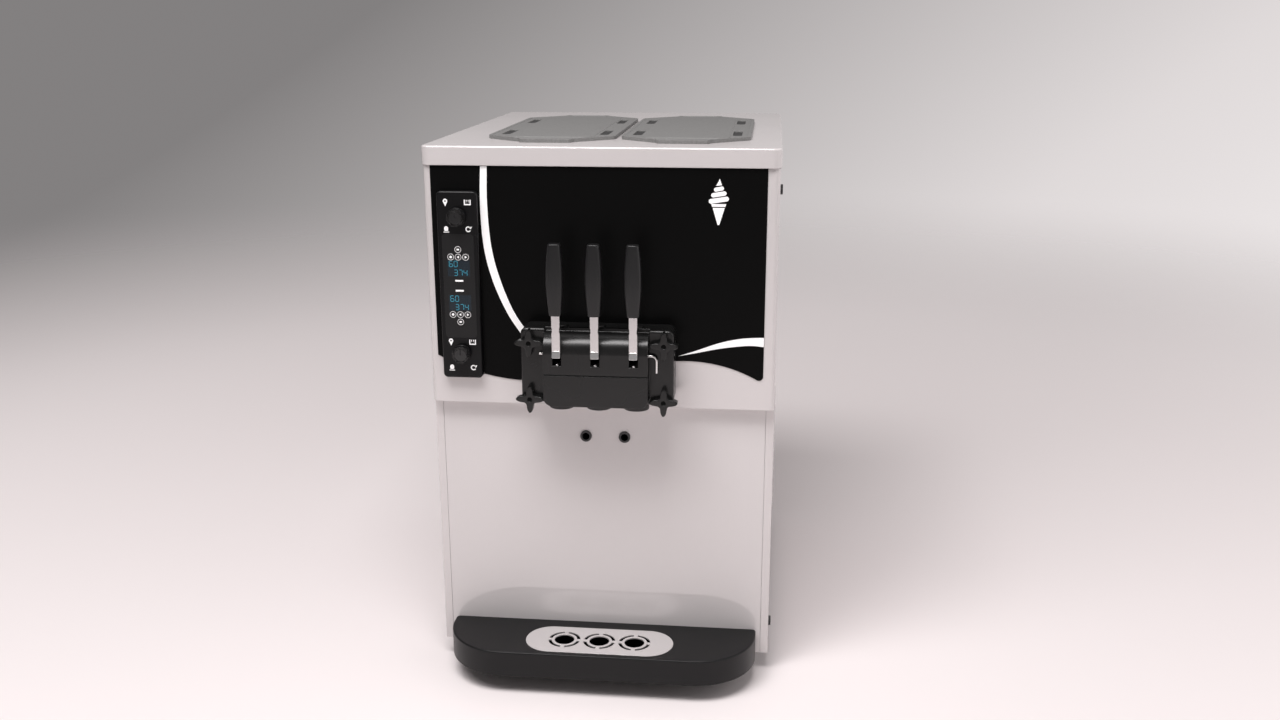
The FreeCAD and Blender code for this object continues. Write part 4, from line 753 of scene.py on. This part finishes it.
# %% Recipe
class Recipe(Board):
    """A Geometry Nodes tree with named inputs, ending in realised instances and a material."""

    KINDS = {float: "NodeSocketFloat", int: "NodeSocketInt", str: "NodeSocketMaterial"}

    def __init__(self, name, **inputs):
        super().__init__(bpy.data.node_groups.new(name, "GeometryNodeTree"))
        self.inputs = inputs
        for label, value in inputs.items():
            self.tree.interface.new_socket(label, in_out="INPUT", socket_type=self.KINDS[type(value)])
        self.tree.interface.new_socket("Shape", in_out="OUTPUT", socket_type="NodeSocketGeometry")
        self.entry = self.tree.nodes.new("NodeGroupInput")

    def size(self, label):
        return Shade(self, self.entry.outputs[label])

    def vector(self, x=0.0, y=0.0, z=0.0):
        return self.add("ShaderNodeCombineXYZ", None, {"X": x, "Y": y, "Z": z})

    def wave(self, operation, angle):
        return self.add("ShaderNodeMath", {"operation": operation}, {0: angle})

    def here(self, axis):
        """One coordinate of each point of the shape: 0 is x, 1 is y."""
        position = self.add("GeometryNodeInputPosition")
        return self.add("ShaderNodeSeparateXYZ", None, {"Vector": position}, axis)

    def rectangle(self, width, height):
        return self.add("GeometryNodeCurvePrimitiveQuadrilateral", None, {0: width, 1: height})

    def circle(self, points, **radius):
        return self.add("GeometryNodeCurvePrimitiveCircle", None, {"Resolution": points, **radius})

    def copies(self, points, shape, **turned):
        return self.add("GeometryNodeInstanceOnPoints", None, {"Points": points, "Instance": shape, **turned})

    def together(self, *shapes):
        join = self.tree.nodes.new("GeometryNodeJoinGeometry")
        for shape in shapes:
            self.put(join.inputs[0], shape)
        return Shade(self, join.outputs[0])

    def thick(self, sheet, thickness):
        """Pushes a flat sheet up by its thickness and closes it underneath."""
        pushed = self.add("GeometryNodeExtrudeMesh", {"mode": "FACES"},
                          {"Mesh": sheet, "Offset Scale": thickness, "Individual": False})
        under = self.add("GeometryNodeFlipFaces", None, {"Mesh": sheet})
        return self.add("GeometryNodeMergeByDistance", None,
                        {"Geometry": self.together(pushed, under), "Distance": 1e-6})

    def end(self, shape):
        whole = self.add("GeometryNodeRealizeInstances", None, {0: shape})
        coated = self.add("GeometryNodeSetMaterial", None,
                          {"Geometry": whole, "Material": self.size("Finish")})
        self.put(self.tree.nodes.new("NodeGroupOutput").inputs[0], coated)

    def grown(self, name, **values):
        holder = bpy.data.objects.new(name, bpy.data.meshes.new(name))
        scene.collection.objects.link(holder)
        modifier = holder.modifiers.new("recipe", "NODES")
        modifier.node_group = self.tree
        chosen = {**self.inputs, **values}
        for item in self.tree.interface.items_tree:
            if item.in_out == "INPUT":
                value = chosen[item.name]
                modifier[item.identifier] = finishes[value] if isinstance(value, str) else value
        mesh = bpy.data.meshes.new_from_object(holder.evaluated_get(bpy.context.evaluated_depsgraph_get()))
        bpy.data.objects.remove(holder)
        return mesh


# %% [markdown]
# The star nut has a simple rule: its edge's distance from the middle swings between lobe and
# hollow four times a turn. The recipe bends a circle of points to that rule, adds a small round
# socket as a second curve, fills between the two and pushes the sheet forward. Other numbers
# would make a three- or five-lobed nut.

# %% Star nuts
star = Recipe("star_nut_recipe", Lobe=0.0205, Hollow=0.0092, Lobes=4.0, Sharpness=1.9, Socket=0.0032,
              Thickness=0.012, Finish="head_black")
angle = star.add("GeometryNodeSplineParameter") * (2 * math.pi)
swell = star.add("ShaderNodeMath", {"operation": "POWER"},
                 {0: star.wave("COSINE", angle * star.size("Lobes")) * 0.5 + 0.5, 1: star.size("Sharpness")})
reach = star.size("Hollow") + (star.size("Lobe") - star.size("Hollow")) * swell
edge = star.add("GeometryNodeSetPosition", None, {
    "Geometry": star.circle(160),
    "Position": star.vector(star.wave("COSINE", angle) * reach, star.wave("SINE", angle) * reach)})
socket = star.circle(24, Radius=star.size("Socket"))
filled = star.add("GeometryNodeFillCurve", {"mode": "TRIANGLES"}, {0: star.together(edge, socket)})
star.end(star.thick(filled, star.size("Thickness")))


def cleaned(mesh):
    """Welds a grown mesh and turns its faces outwards."""
    work = bmesh.new()
    work.from_mesh(mesh)
    bmesh.ops.remove_doubles(work, verts=work.verts, dist=1e-6)
    bmesh.ops.recalc_face_normals(work, faces=work.faces)
    work.to_mesh(mesh)
    work.free()
    return mesh


NUT_EDGE, SHADE_DISC_RADIUS, SHADE_DISC_DEPTH = 1.3, 3.6, 1.8
for place in ("upper_left", "upper_right", "lower_left", "lower_right"):
    node = "star_nut_" + place
    x, drop = spot_of(node)
    mesh = settle(cleaned(star.grown(node + "_lobes")), NUT_EDGE * MM, 4)
    mesh.transform(Matrix.Translation(at(x, depth_of(node, 1), drop)) @ STAND)
    add_piece(node + "_lobes", mesh, "head_black", node, (node,))
    # Painted shade: a black disc at the floor of each nut's socket stands for the dark of a deep hole.
    socket_shade_disc = rimmed(node + "_socket", arc(SHADE_DISC_RADIUS, count=20), depth_of(node) + 6,
                        depth_of(node) + SHADE_DISC_DEPTH, 0.3, 2)
    add_piece(node + "_socket", set_at(socket_shade_disc, x, drop), "black_print", node)
print("star nuts", len(mesh.polygons), "faces each")

# %% [markdown]
# The drip grille is a stadium-shaped sheet with three drain holes, each inside a ring of four
# curved slots. A slot is a long rectangle bent round the hole: x becomes the angle and y the
# distance. Turned copies make the ring, and three copies of the ring make the row.

# %% Drip grille
grate = Recipe("drip_grille_recipe", Length=0.228, Width=0.08, Pitch=0.0543, Hole=0.0153, Slot_inner=0.0197,
               Slot_outer=0.0246, Bridge=0.006, Thickness=0.002, Finish="stainless_polished")
sheet_edge = grate.add("GeometryNodeFilletCurve", {"mode": "POLY"}, {
    "Curve": grate.rectangle(grate.size("Length"), grate.size("Width")),
    "Radius": grate.size("Width") * 0.499, "Limit Radius": True, "Count": 20})
middle_radius = (grate.size("Slot_inner") + grate.size("Slot_outer")) * 0.5
strip = grate.add("GeometryNodeResampleCurve", None, {
    "Curve": grate.rectangle(middle_radius * (math.pi / 2) - grate.size("Bridge"),
                             grate.size("Slot_outer") - grate.size("Slot_inner")), "Count": 44})
bend = grate.add("ShaderNodeMath", {"operation": "DIVIDE"}, {0: grate.here(0), 1: middle_radius})
far = middle_radius + grate.here(1)
slot_edge = grate.add("GeometryNodeSetPosition", None, {
    "Geometry": strip,
    "Position": grate.vector(grate.wave("SINE", bend) * far, grate.wave("COSINE", bend) * far)})
quarter = grate.add("GeometryNodeMeshLine", {"mode": "OFFSET"}, {"Count": 4, "Offset": (0, 0, 0)})
turns = grate.add("GeometryNodeInputIndex") * (math.pi / 2) + math.pi / 4
slots = grate.copies(quarter, slot_edge, Rotation=grate.vector(0.0, 0.0, turns))
drain = grate.together(slots, grate.circle(40, Radius=grate.size("Hole")))
row = grate.add("GeometryNodeMeshLine", {"mode": "OFFSET"}, {
    "Count": 3, "Start Location": grate.vector(0 - grate.size("Pitch")),
    "Offset": grate.vector(grate.size("Pitch"))})
drains = grate.add("GeometryNodeRealizeInstances", None, {0: grate.copies(row, drain)})
perforated = grate.add("GeometryNodeFillCurve", {"mode": "TRIANGLES"},
                       {0: grate.together(sheet_edge, drains)})
grate.end(grate.thick(perforated, grate.size("Thickness")))
print("grille recipe", len(grate.tree.nodes), "nodes")

# %% Grow the grille
grille_low, grille_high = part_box("drip_grille")
grown_grille = grate.grown("drip_grille_sheet", Length=grille_high.x - grille_low.x,
                           Width=grille_high.y - grille_low.y, Thickness=grille_high.z - grille_low.z)
grille_mesh = settle(cleaned(grown_grille), 0.2 * MM, 2)
grille_middle = (grille_low + grille_high) / 2
grille_mesh.transform(Matrix.Translation((grille_middle.x, grille_middle.y, grille_low.z)))
add_piece("drip_grille_sheet", grille_mesh, "grille_steel", "drip_grille",
          ("drip_grille",))
print("grille", len(grille_mesh.polygons), "faces")

# %% [markdown]
# ## Control knobs
# A knob is a flat skirt with a fluted drum on it. The drum's edge is a circle that ripples in and
# out, so it is the star nut's rule with many shallow lobes, and the same recipe can grow it. A
# raised bar on the face says where the knob points.

# %% Knobs
finishes["knob_black"] = moulded("knob_moulding", (0.009, 0.009, 0.0095), 0.22, 2200.0, 6.0e-6, gloss(0.6))
DRUM, FLUTE, SKIRT, FACE = 12.3, 0.35, 13.5, 9.2
SKIRT_TOP, DRUM_BASE = 4.2, 4.0
for place in ("upper", "lower"):
    node = "control_knob_" + place
    x, drop = spot_of(node)
    front = depth_of(node)
    skirt = rimmed(node + "_skirt", arc(SKIRT, count=48), case_front - 0.1, case_front - SKIRT_TOP, 1.2, 3)
    add_piece(node + "_skirt", set_at(skirt, x, drop), "module_grey", node, (node,))
    grown_drum = star.grown(node + "_drum", Lobe=DRUM * MM, Hollow=(DRUM - FLUTE) * MM, Lobes=28.0,
                            Sharpness=0.7, Socket=0.0015, Thickness=(case_front - DRUM_BASE - front) * MM)
    drum = settle(cleaned(grown_drum), 2.4 * MM, 5)
    drum.transform(Matrix.Translation(at(x, case_front - DRUM_BASE, drop)) @ STAND)
    add_piece(node + "_drum", drum, "knob_black", node)
    face = rimmed(node + "_face", arc(FACE, count=40), front + 2, front - 0.1, 0.7, 3)
    add_piece(node + "_face", set_at(face, x, drop), "knob_black", node)
    bar = rimmed(node + "_pointer", rounded_outline(0.9, 4.2, 0.8, 4), front, front - 0.7, 0.4, 3)
    bar.transform(Matrix.Translation((0, 0, 4.2 * MM)))
    add_piece(node + "_pointer", set_at(bar, x, drop), "key_black", node)
print("knob drum", len(drum.polygons), "faces")

# %% [markdown]
# ## Lever feet and slot studs
# Where a lever's strip turns in to its pivot it has a polished foot with small shoulders, leaning
# forward, and this is the brightest spot of the head. A domed stud stands on the floor of each
# slot. The foot rides on its lever; the stud stays with the head. Blender's own sphere lists its
# faces in another order at each run, so the dome is laid ring by ring: one script, one mesh.

# %% Feet and studs
def dome(name, radius, rise, rings=5, count=20):
    """Half a ball on a flat base at z = 0; rise stretches its height."""
    work = bmesh.new()
    levels = []
    for ring in range(rings):
        up = math.pi / 2 * ring / rings
        turns = [2 * math.pi * step / count for step in range(count)]
        levels.append([work.verts.new((radius * math.cos(up) * math.cos(turn),
                                       radius * math.cos(up) * math.sin(turn),
                                       radius * rise * math.sin(up))) for turn in turns])
    pole = work.verts.new((0, 0, radius * rise))
    for step in range(count):
        after = (step + 1) % count
        for low, high in zip(levels, levels[1:]):
            work.faces.new((low[step], low[after], high[after], high[step]))
        work.faces.new((levels[-1][step], levels[-1][after], pole))
    work.faces.new(list(reversed(levels[0])))
    mesh = bpy.data.meshes.new(name)
    work.to_mesh(mesh)
    work.free()
    return mesh


finishes["foot_steel"] = brushed_steel("polished_foot_steel", (0.97, 0.97, 0.97), 0.12, (300, 300, 300),
                                       1e-7, 1.0)
FOOT_HALF, FOOT_HEIGHT, FOOT_LEAN = 6.1, 10.5, 1.3
STUD_RADIUS, STUD_RISE, STUD_DEPTH, STUD_DROP = 2.7, 1.05, -56.4, 307.0
PIVOT_DROP = (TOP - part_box("pivot_rod")[1].z) / MM + 2.0
for place in ("left", "centre", "right"):
    node = "draw_lever_" + place
    x = spot_of(node)[0]
    strip_front = depth_of(node)
    shape = [(-FOOT_HALF + 0.9, 0), (FOOT_HALF - 0.9, 0), (FOOT_HALF, 1.2), (FOOT_HALF, FOOT_HEIGHT - 3.4),
             (FOOT_HALF - 1.3, FOOT_HEIGHT), (1.3 - FOOT_HALF, FOOT_HEIGHT), (-FOOT_HALF, FOOT_HEIGHT - 3.4),
             (-FOOT_HALF, 1.2)]
    foot = rimmed(node + "_foot", shape, strip_front + 0.4, strip_front - 0.7, 0.5, 3)
    lean = Matrix.Translation((0, -FOOT_LEAN * MM, 0))
    lean[1][2] = FOOT_LEAN / FOOT_HEIGHT
    foot.transform(lean)
    add_piece(node + "_foot", set_at(foot, x, PIVOT_DROP + 1.0), "foot_steel", body_of(node))
    stud = dome("slot_stud_" + place, STUD_RADIUS * MM, STUD_RISE)
    stud.transform(Matrix.Translation(at(x, STUD_DEPTH, STUD_DROP)))
    add_piece("slot_stud_" + place, settle(stud, angle=50), "lever_steel", "machine")
    print(node, "foot", len(foot.polygons), "faces")

# %% [markdown]
# ## Lid pockets
# Each lid has four long pockets for the fingers. A near-black sheet lies at the floor of each pocket: painted
# shade that stands for the dark of a deep pocket. The sheet is a rounded rectangle given a thickness, and a
# grid of two by two points repeats it.

# %% Painted pocket shade
pocket_shade = Recipe("pocket_liner_recipe", Length=0.08, Width=0.0138, Spread_x=0.1, Spread_y=0.2, Thickness=0.0006,
               Finish="lid_grey")
pocket_shade_edge = pocket_shade.add("GeometryNodeFilletCurve", {"mode": "POLY"}, {
    "Curve": pocket_shade.rectangle(pocket_shade.size("Width"), pocket_shade.size("Length")),
    "Radius": pocket_shade.size("Width") * 0.47, "Limit Radius": True, "Count": 8})
pocket_shade_plate = pocket_shade.thick(pocket_shade.add("GeometryNodeFillCurve", {"mode": "NGONS"}, {0: pocket_shade_edge}),
                             pocket_shade.size("Thickness"))
corners = pocket_shade.add("GeometryNodeMeshGrid", None, {
    "Size X": pocket_shade.size("Spread_x"), "Size Y": pocket_shade.size("Spread_y"), "Vertices X": 2, "Vertices Y": 2})
pocket_shade.end(pocket_shade.copies(corners, pocket_shade_plate))
# Painted shade: the near-black finish of the pocket sheets.
finishes["painted_pocket_shade"] = moulded("lid_pocket_skin", (0.03, 0.03, 0.03), 0.6, 900.0, 3.0e-5)
POCKET_FROM_SIDE, POCKET_FROM_MIDDLE, POCKET_FLOOR, SHADE_SHEET_LIFT = 21.0, 103.0, 2.0, 0.02
for side in ("left", "right"):
    node = "hopper_lid_" + side
    low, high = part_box(node)
    middle = (low + high) / 2
    mesh = cleaned(pocket_shade.grown(node + "_painted_pocket_shade", Spread_x=high.x - low.x - 2 * POCKET_FROM_SIDE * MM,
                               Spread_y=2 * POCKET_FROM_MIDDLE * MM))
    mesh.transform(Matrix.Translation((middle.x, middle.y, TOP + (POCKET_FLOOR + SHADE_SHEET_LIFT) * MM)))
    add_piece(node + "_painted_pocket_shade", mesh, "painted_pocket_shade", body_of(node))
print("pocket liners", len(mesh.polygons), "faces on each lid")

# %% [markdown]
# ## Louvres
# The air slots in the side and rear sheets are pressed louvres: the sheet above each slot bulges
# out like an eyelid, so that splashes can't run in. One eyelid is a small grid of points sent to
# a formula: round the slot in one direction, and closing to nothing at its two ends in the other.
# A line of points repeats it up the sheet, so one recipe serves four fields of louvres.

# %% Louvre recipe
hood = Recipe("louvre_recipe", Width=0.146, Rise=0.0085, Reach=0.0045, Skin=0.0008, Closing=8.0, Pitch=0.018,
              Count=12, Finish="stainless_brushed")
grid = hood.add("GeometryNodeMeshGrid", None,
                {"Size X": 1.0, "Size Y": 1.0, "Vertices X": 33, "Vertices Y": 7})
along = hood.here(0)
around = (hood.here(1) + 0.5) * (math.pi / 2)
end_share = hood.add("ShaderNodeMath", {"operation": "ABSOLUTE"}, {0: along * 2.0})
eye = 1 - hood.add("ShaderNodeMath", {"operation": "POWER"}, {0: end_share, 1: hood.size("Closing")})
bulged = hood.add("GeometryNodeSetPosition", None, {"Geometry": grid, "Position": hood.vector(
    along * hood.size("Width"), 0 - hood.wave("COSINE", around) * hood.size("Reach") * eye,
    hood.wave("SINE", around) * hood.size("Rise") * eye)})
eyelid = hood.thick(hood.add("GeometryNodeMergeByDistance", None, {"Geometry": bulged, "Distance": 2e-5}),
                    hood.size("Skin"))
rungs = hood.add("GeometryNodeMeshLine", {"mode": "OFFSET"}, {
    "Count": hood.size("Count"), "Offset": hood.vector(0.0, 0.0, hood.size("Pitch"))})
hood.end(hood.copies(rungs, eyelid))
print("louvre recipe", len(hood.tree.nodes), "nodes")

# %% One field of louvres
HOOD_OVERLAP = 6


def louvre_field(name, place, face, turn_by, width, pitch, count):
    """A ladder of louvres; place is the middle of the lowest slot's lower edge on the sheet."""
    mesh = cleaned(hood.grown(name, Width=(width + HOOD_OVERLAP) * MM, Pitch=pitch * MM, Count=count))
    mesh.polygons.foreach_set("use_smooth", [True] * len(mesh.polygons))
    mesh.set_sharp_from_angle(angle=math.radians(50))
    mesh.transform(Matrix.Translation(place) @ Matrix.Rotation(math.radians(turn_by), 4, "Z"))
    add_piece(name, mesh, "stainless_brushed", "machine")
    print(name, len(mesh.polygons), "faces on", face)


# %% Four fields of louvres
side_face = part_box("side_panel_right")[1].x
rear_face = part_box("rear_panel")[1].y
SIDE_MIDDLE, SIDE_LOWEST = 500.0, 710.0
REAR_X, REAR_LOWEST, UPPER_LOWEST = 95.0, 750.0, 260.0
for name, sign, turn_by in (("right", 1, 90), ("left", -1, -90)):
    place = at(0, SIDE_MIDDLE, SIDE_LOWEST)
    place.x = sign * side_face
    louvre_field("side_louvres_" + name, place, "the side sheet", turn_by, 140, 18, 12)
for name, x, drop, width, pitch, count in (("lower", REAR_X, REAR_LOWEST, 240, 16, 15),
                                           ("upper", 0.0, UPPER_LOWEST, 300, 18, 7)):
    place = at(x, 0, drop)
    place.y = rear_face
    louvre_field("rear_louvres_" + name, place, "the rear sheet", 180, width, pitch, count)

# %% [markdown]
# ## Rear fixings
# The rear sheet is held by ten button screws with hexagon sockets. The head is the region between
# a circle and a hexagon, which is a circle of six points, pushed out and rounded. A grid of points
# spreads the screws over the sheet.

# %% Button screws
button = Recipe("button_screw_recipe", Head=0.0048, Socket=0.0023, Rise=0.0024, Spread_x=0.49, Spread_z=0.66,
                Columns=2, Rows=5, Finish="stainless_polished")
head_edge = button.circle(28, Radius=button.size("Head"))
hexagon = button.circle(6, Radius=button.size("Socket"))
screw_head = button.thick(button.add("GeometryNodeFillCurve", {"mode": "TRIANGLES"},
                                     {0: button.together(head_edge, hexagon)}), button.size("Rise"))
spread = button.add("GeometryNodeMeshGrid", None, {
    "Size X": button.size("Spread_x"), "Size Y": button.size("Spread_z"),
    "Vertices X": button.size("Columns"), "Vertices Y": button.size("Rows")})
button.end(button.copies(spread, screw_head))
screws = settle(cleaned(button.grown("rear_screws")), 0.9 * MM, 3)
sheet_middle = middle_of("rear_panel")
screws.transform(Matrix.Translation((sheet_middle.x, rear_face, sheet_middle.z))
                 @ Matrix.Rotation(math.pi, 4, "Z") @ STAND)
add_piece("rear_screws", screws, "stainless_polished", "machine")
print("rear screws", len(screws.polygons), "faces")

# %% [markdown]
# ## The camera and the room
# The camera is in front of the machine, a little to its right, above the lids and looking down.
# Its place is stated from the cover, so it follows the machine. The room is a pale floor that
# fades into a sky of the same tone, which hides the horizon, and the light is three large soft
# panels, as in a studio tent. An even bright sky would fill every shadow and turn the black
# mouldings grey, so the half of it behind the camera is dimmed, as by a black cloth.

# %% Camera
EYE = Vector((0.2448, FRONT - 1.7625, TOP + 0.179))
YAW, PITCH, ROLL = math.radians(6.02), math.radians(-15.46), math.radians(-0.1)
lens = bpy.data.cameras.new("studio_camera")
lens.lens, lens.sensor_width, lens.clip_end = 35.0, 36.0, 60.0
camera = bpy.data.objects.new("studio_camera", lens)
turned = Matrix.Rotation(YAW, 4, "Z") @ Matrix.Rotation(math.pi / 2 + PITCH, 4, "X")
camera.matrix_world = Matrix.Translation(EYE) @ (turned @ Matrix.Rotation(ROLL, 4, "Z"))
scene.collection.objects.link(camera)
scene.camera = camera
scene.view_settings.view_transform = "Standard"
print("camera at", tuple(round(value, 3) for value in EYE))

# %% Floor
PALE = (0.9, 0.845, 0.845)
floor_finish = Finish("pale_floor", PALE, 0.6, 0.0, gloss(0.2))
spot = floor_finish.add("ShaderNodeVectorMath", {"operation": "LENGTH"}, {0: floor_finish.place()}, "Value")
floor_finish.feed("Alpha", 1 - spot.step(1.4, 5.5))
# Painted light: the floor glows a little, more away from the machine and more towards its right front, where
# the room is lit more.
painted_light_side = floor_finish.add("ShaderNodeVectorMath", {"operation": "DOT_PRODUCT"},
                               {0: floor_finish.place(), 1: (0.93, -0.37, 0.0)}, "Value")
painted_light_share = spot.step(0.6, 2.4) * 0.5 + painted_light_side.step(0.2, 2.6) * 0.7
floor_finish.feed("Emission Color", floor_finish.blend((0, 0, 0, 1), (*PALE, 1), painted_light_share))
floor_finish.feed("Emission Strength", 0.3)
plate = bmesh.new()
bmesh.ops.create_circle(plate, cap_ends=True, segments=96, radius=6.0)
floor_mesh = bpy.data.meshes.new("studio_floor")
plate.to_mesh(floor_mesh)
plate.free()
floor = bpy.data.objects.new("studio_floor", floor_mesh)
floor_mesh.materials.append(floor_finish.material)
scene.collection.objects.link(floor)
print("floor", len(floor_mesh.polygons), "face")

# %% Sky and light panels
SHADE_SIDE, VIEWER_SIDE, FRONT_DIMMING = (-0.62, 0.25, 0.74), (0, -1, 0), 0.68
SKY_TONES = ((0.36, (0.93, 0.89, 0.89, 1)), (0.51, (0.74, 0.7, 0.7, 1)), (0.715, (0.225, 0.215, 0.215, 1)))
room = bpy.data.worlds.new("studio_room")
room.use_nodes = True
scene.world = room
sky = room.node_tree
for spare in list(sky.nodes):
    sky.nodes.remove(spare)
sky_board = Board(sky)
direction = sky_board.add("ShaderNodeTexCoord")
lean, forward = (sky_board.add("ShaderNodeVectorMath", {"operation": "DOT_PRODUCT"},
                               {0: direction, 1: side}, "Value") for side in (SHADE_SIDE, VIEWER_SIDE))
ramp = sky.nodes.new("ShaderNodeValToRGB")
stops = ramp.color_ramp.elements
stops.new(0.5)
for stop, (position, tone) in zip(stops, SKY_TONES):
    stop.position, stop.color = position, tone
sky_board.put(ramp.inputs["Fac"], lean * 0.5 + 0.5)
background = sky.nodes.new("ShaderNodeBackground")
screen = sky.nodes.new("ShaderNodeOutputWorld")
sky.links.new(ramp.outputs["Color"], background.inputs["Color"])
sky_board.put(background.inputs["Strength"], 1 - forward.step(0.0, 0.6) * FRONT_DIMMING)
sky.links.new(background.outputs["Background"], screen.inputs["Surface"])


def light_panel(name, place, target, width, height, watts):
    light = bpy.data.lights.new(name, "AREA")
    light.shape, light.size, light.size_y = "RECTANGLE", width, height
    light.energy, light.color = watts, (1, 0.97, 0.97)
    panel = bpy.data.objects.new(name, light)
    aim = (Vector(target) - Vector(place)).to_track_quat("-Z", "Y")
    panel.matrix_world = Matrix.Translation(place) @ aim.to_matrix().to_4x4()
    scene.collection.objects.link(panel)
    panel.visible_camera = False


light_panel("key_light", (-1.2, -1.6, 2.9), (0, 0, 0.4), 1.5, 1.1, 28)
light_panel("fill_light", (2.2, -1.4, 1.6), (0, 0, 0.4), 2.0, 2.0, 7)
light_panel("top_light", (-0.2, -1.25, 3.0), (0, -0.3, 0.3), 1.8, 1.0, 70)
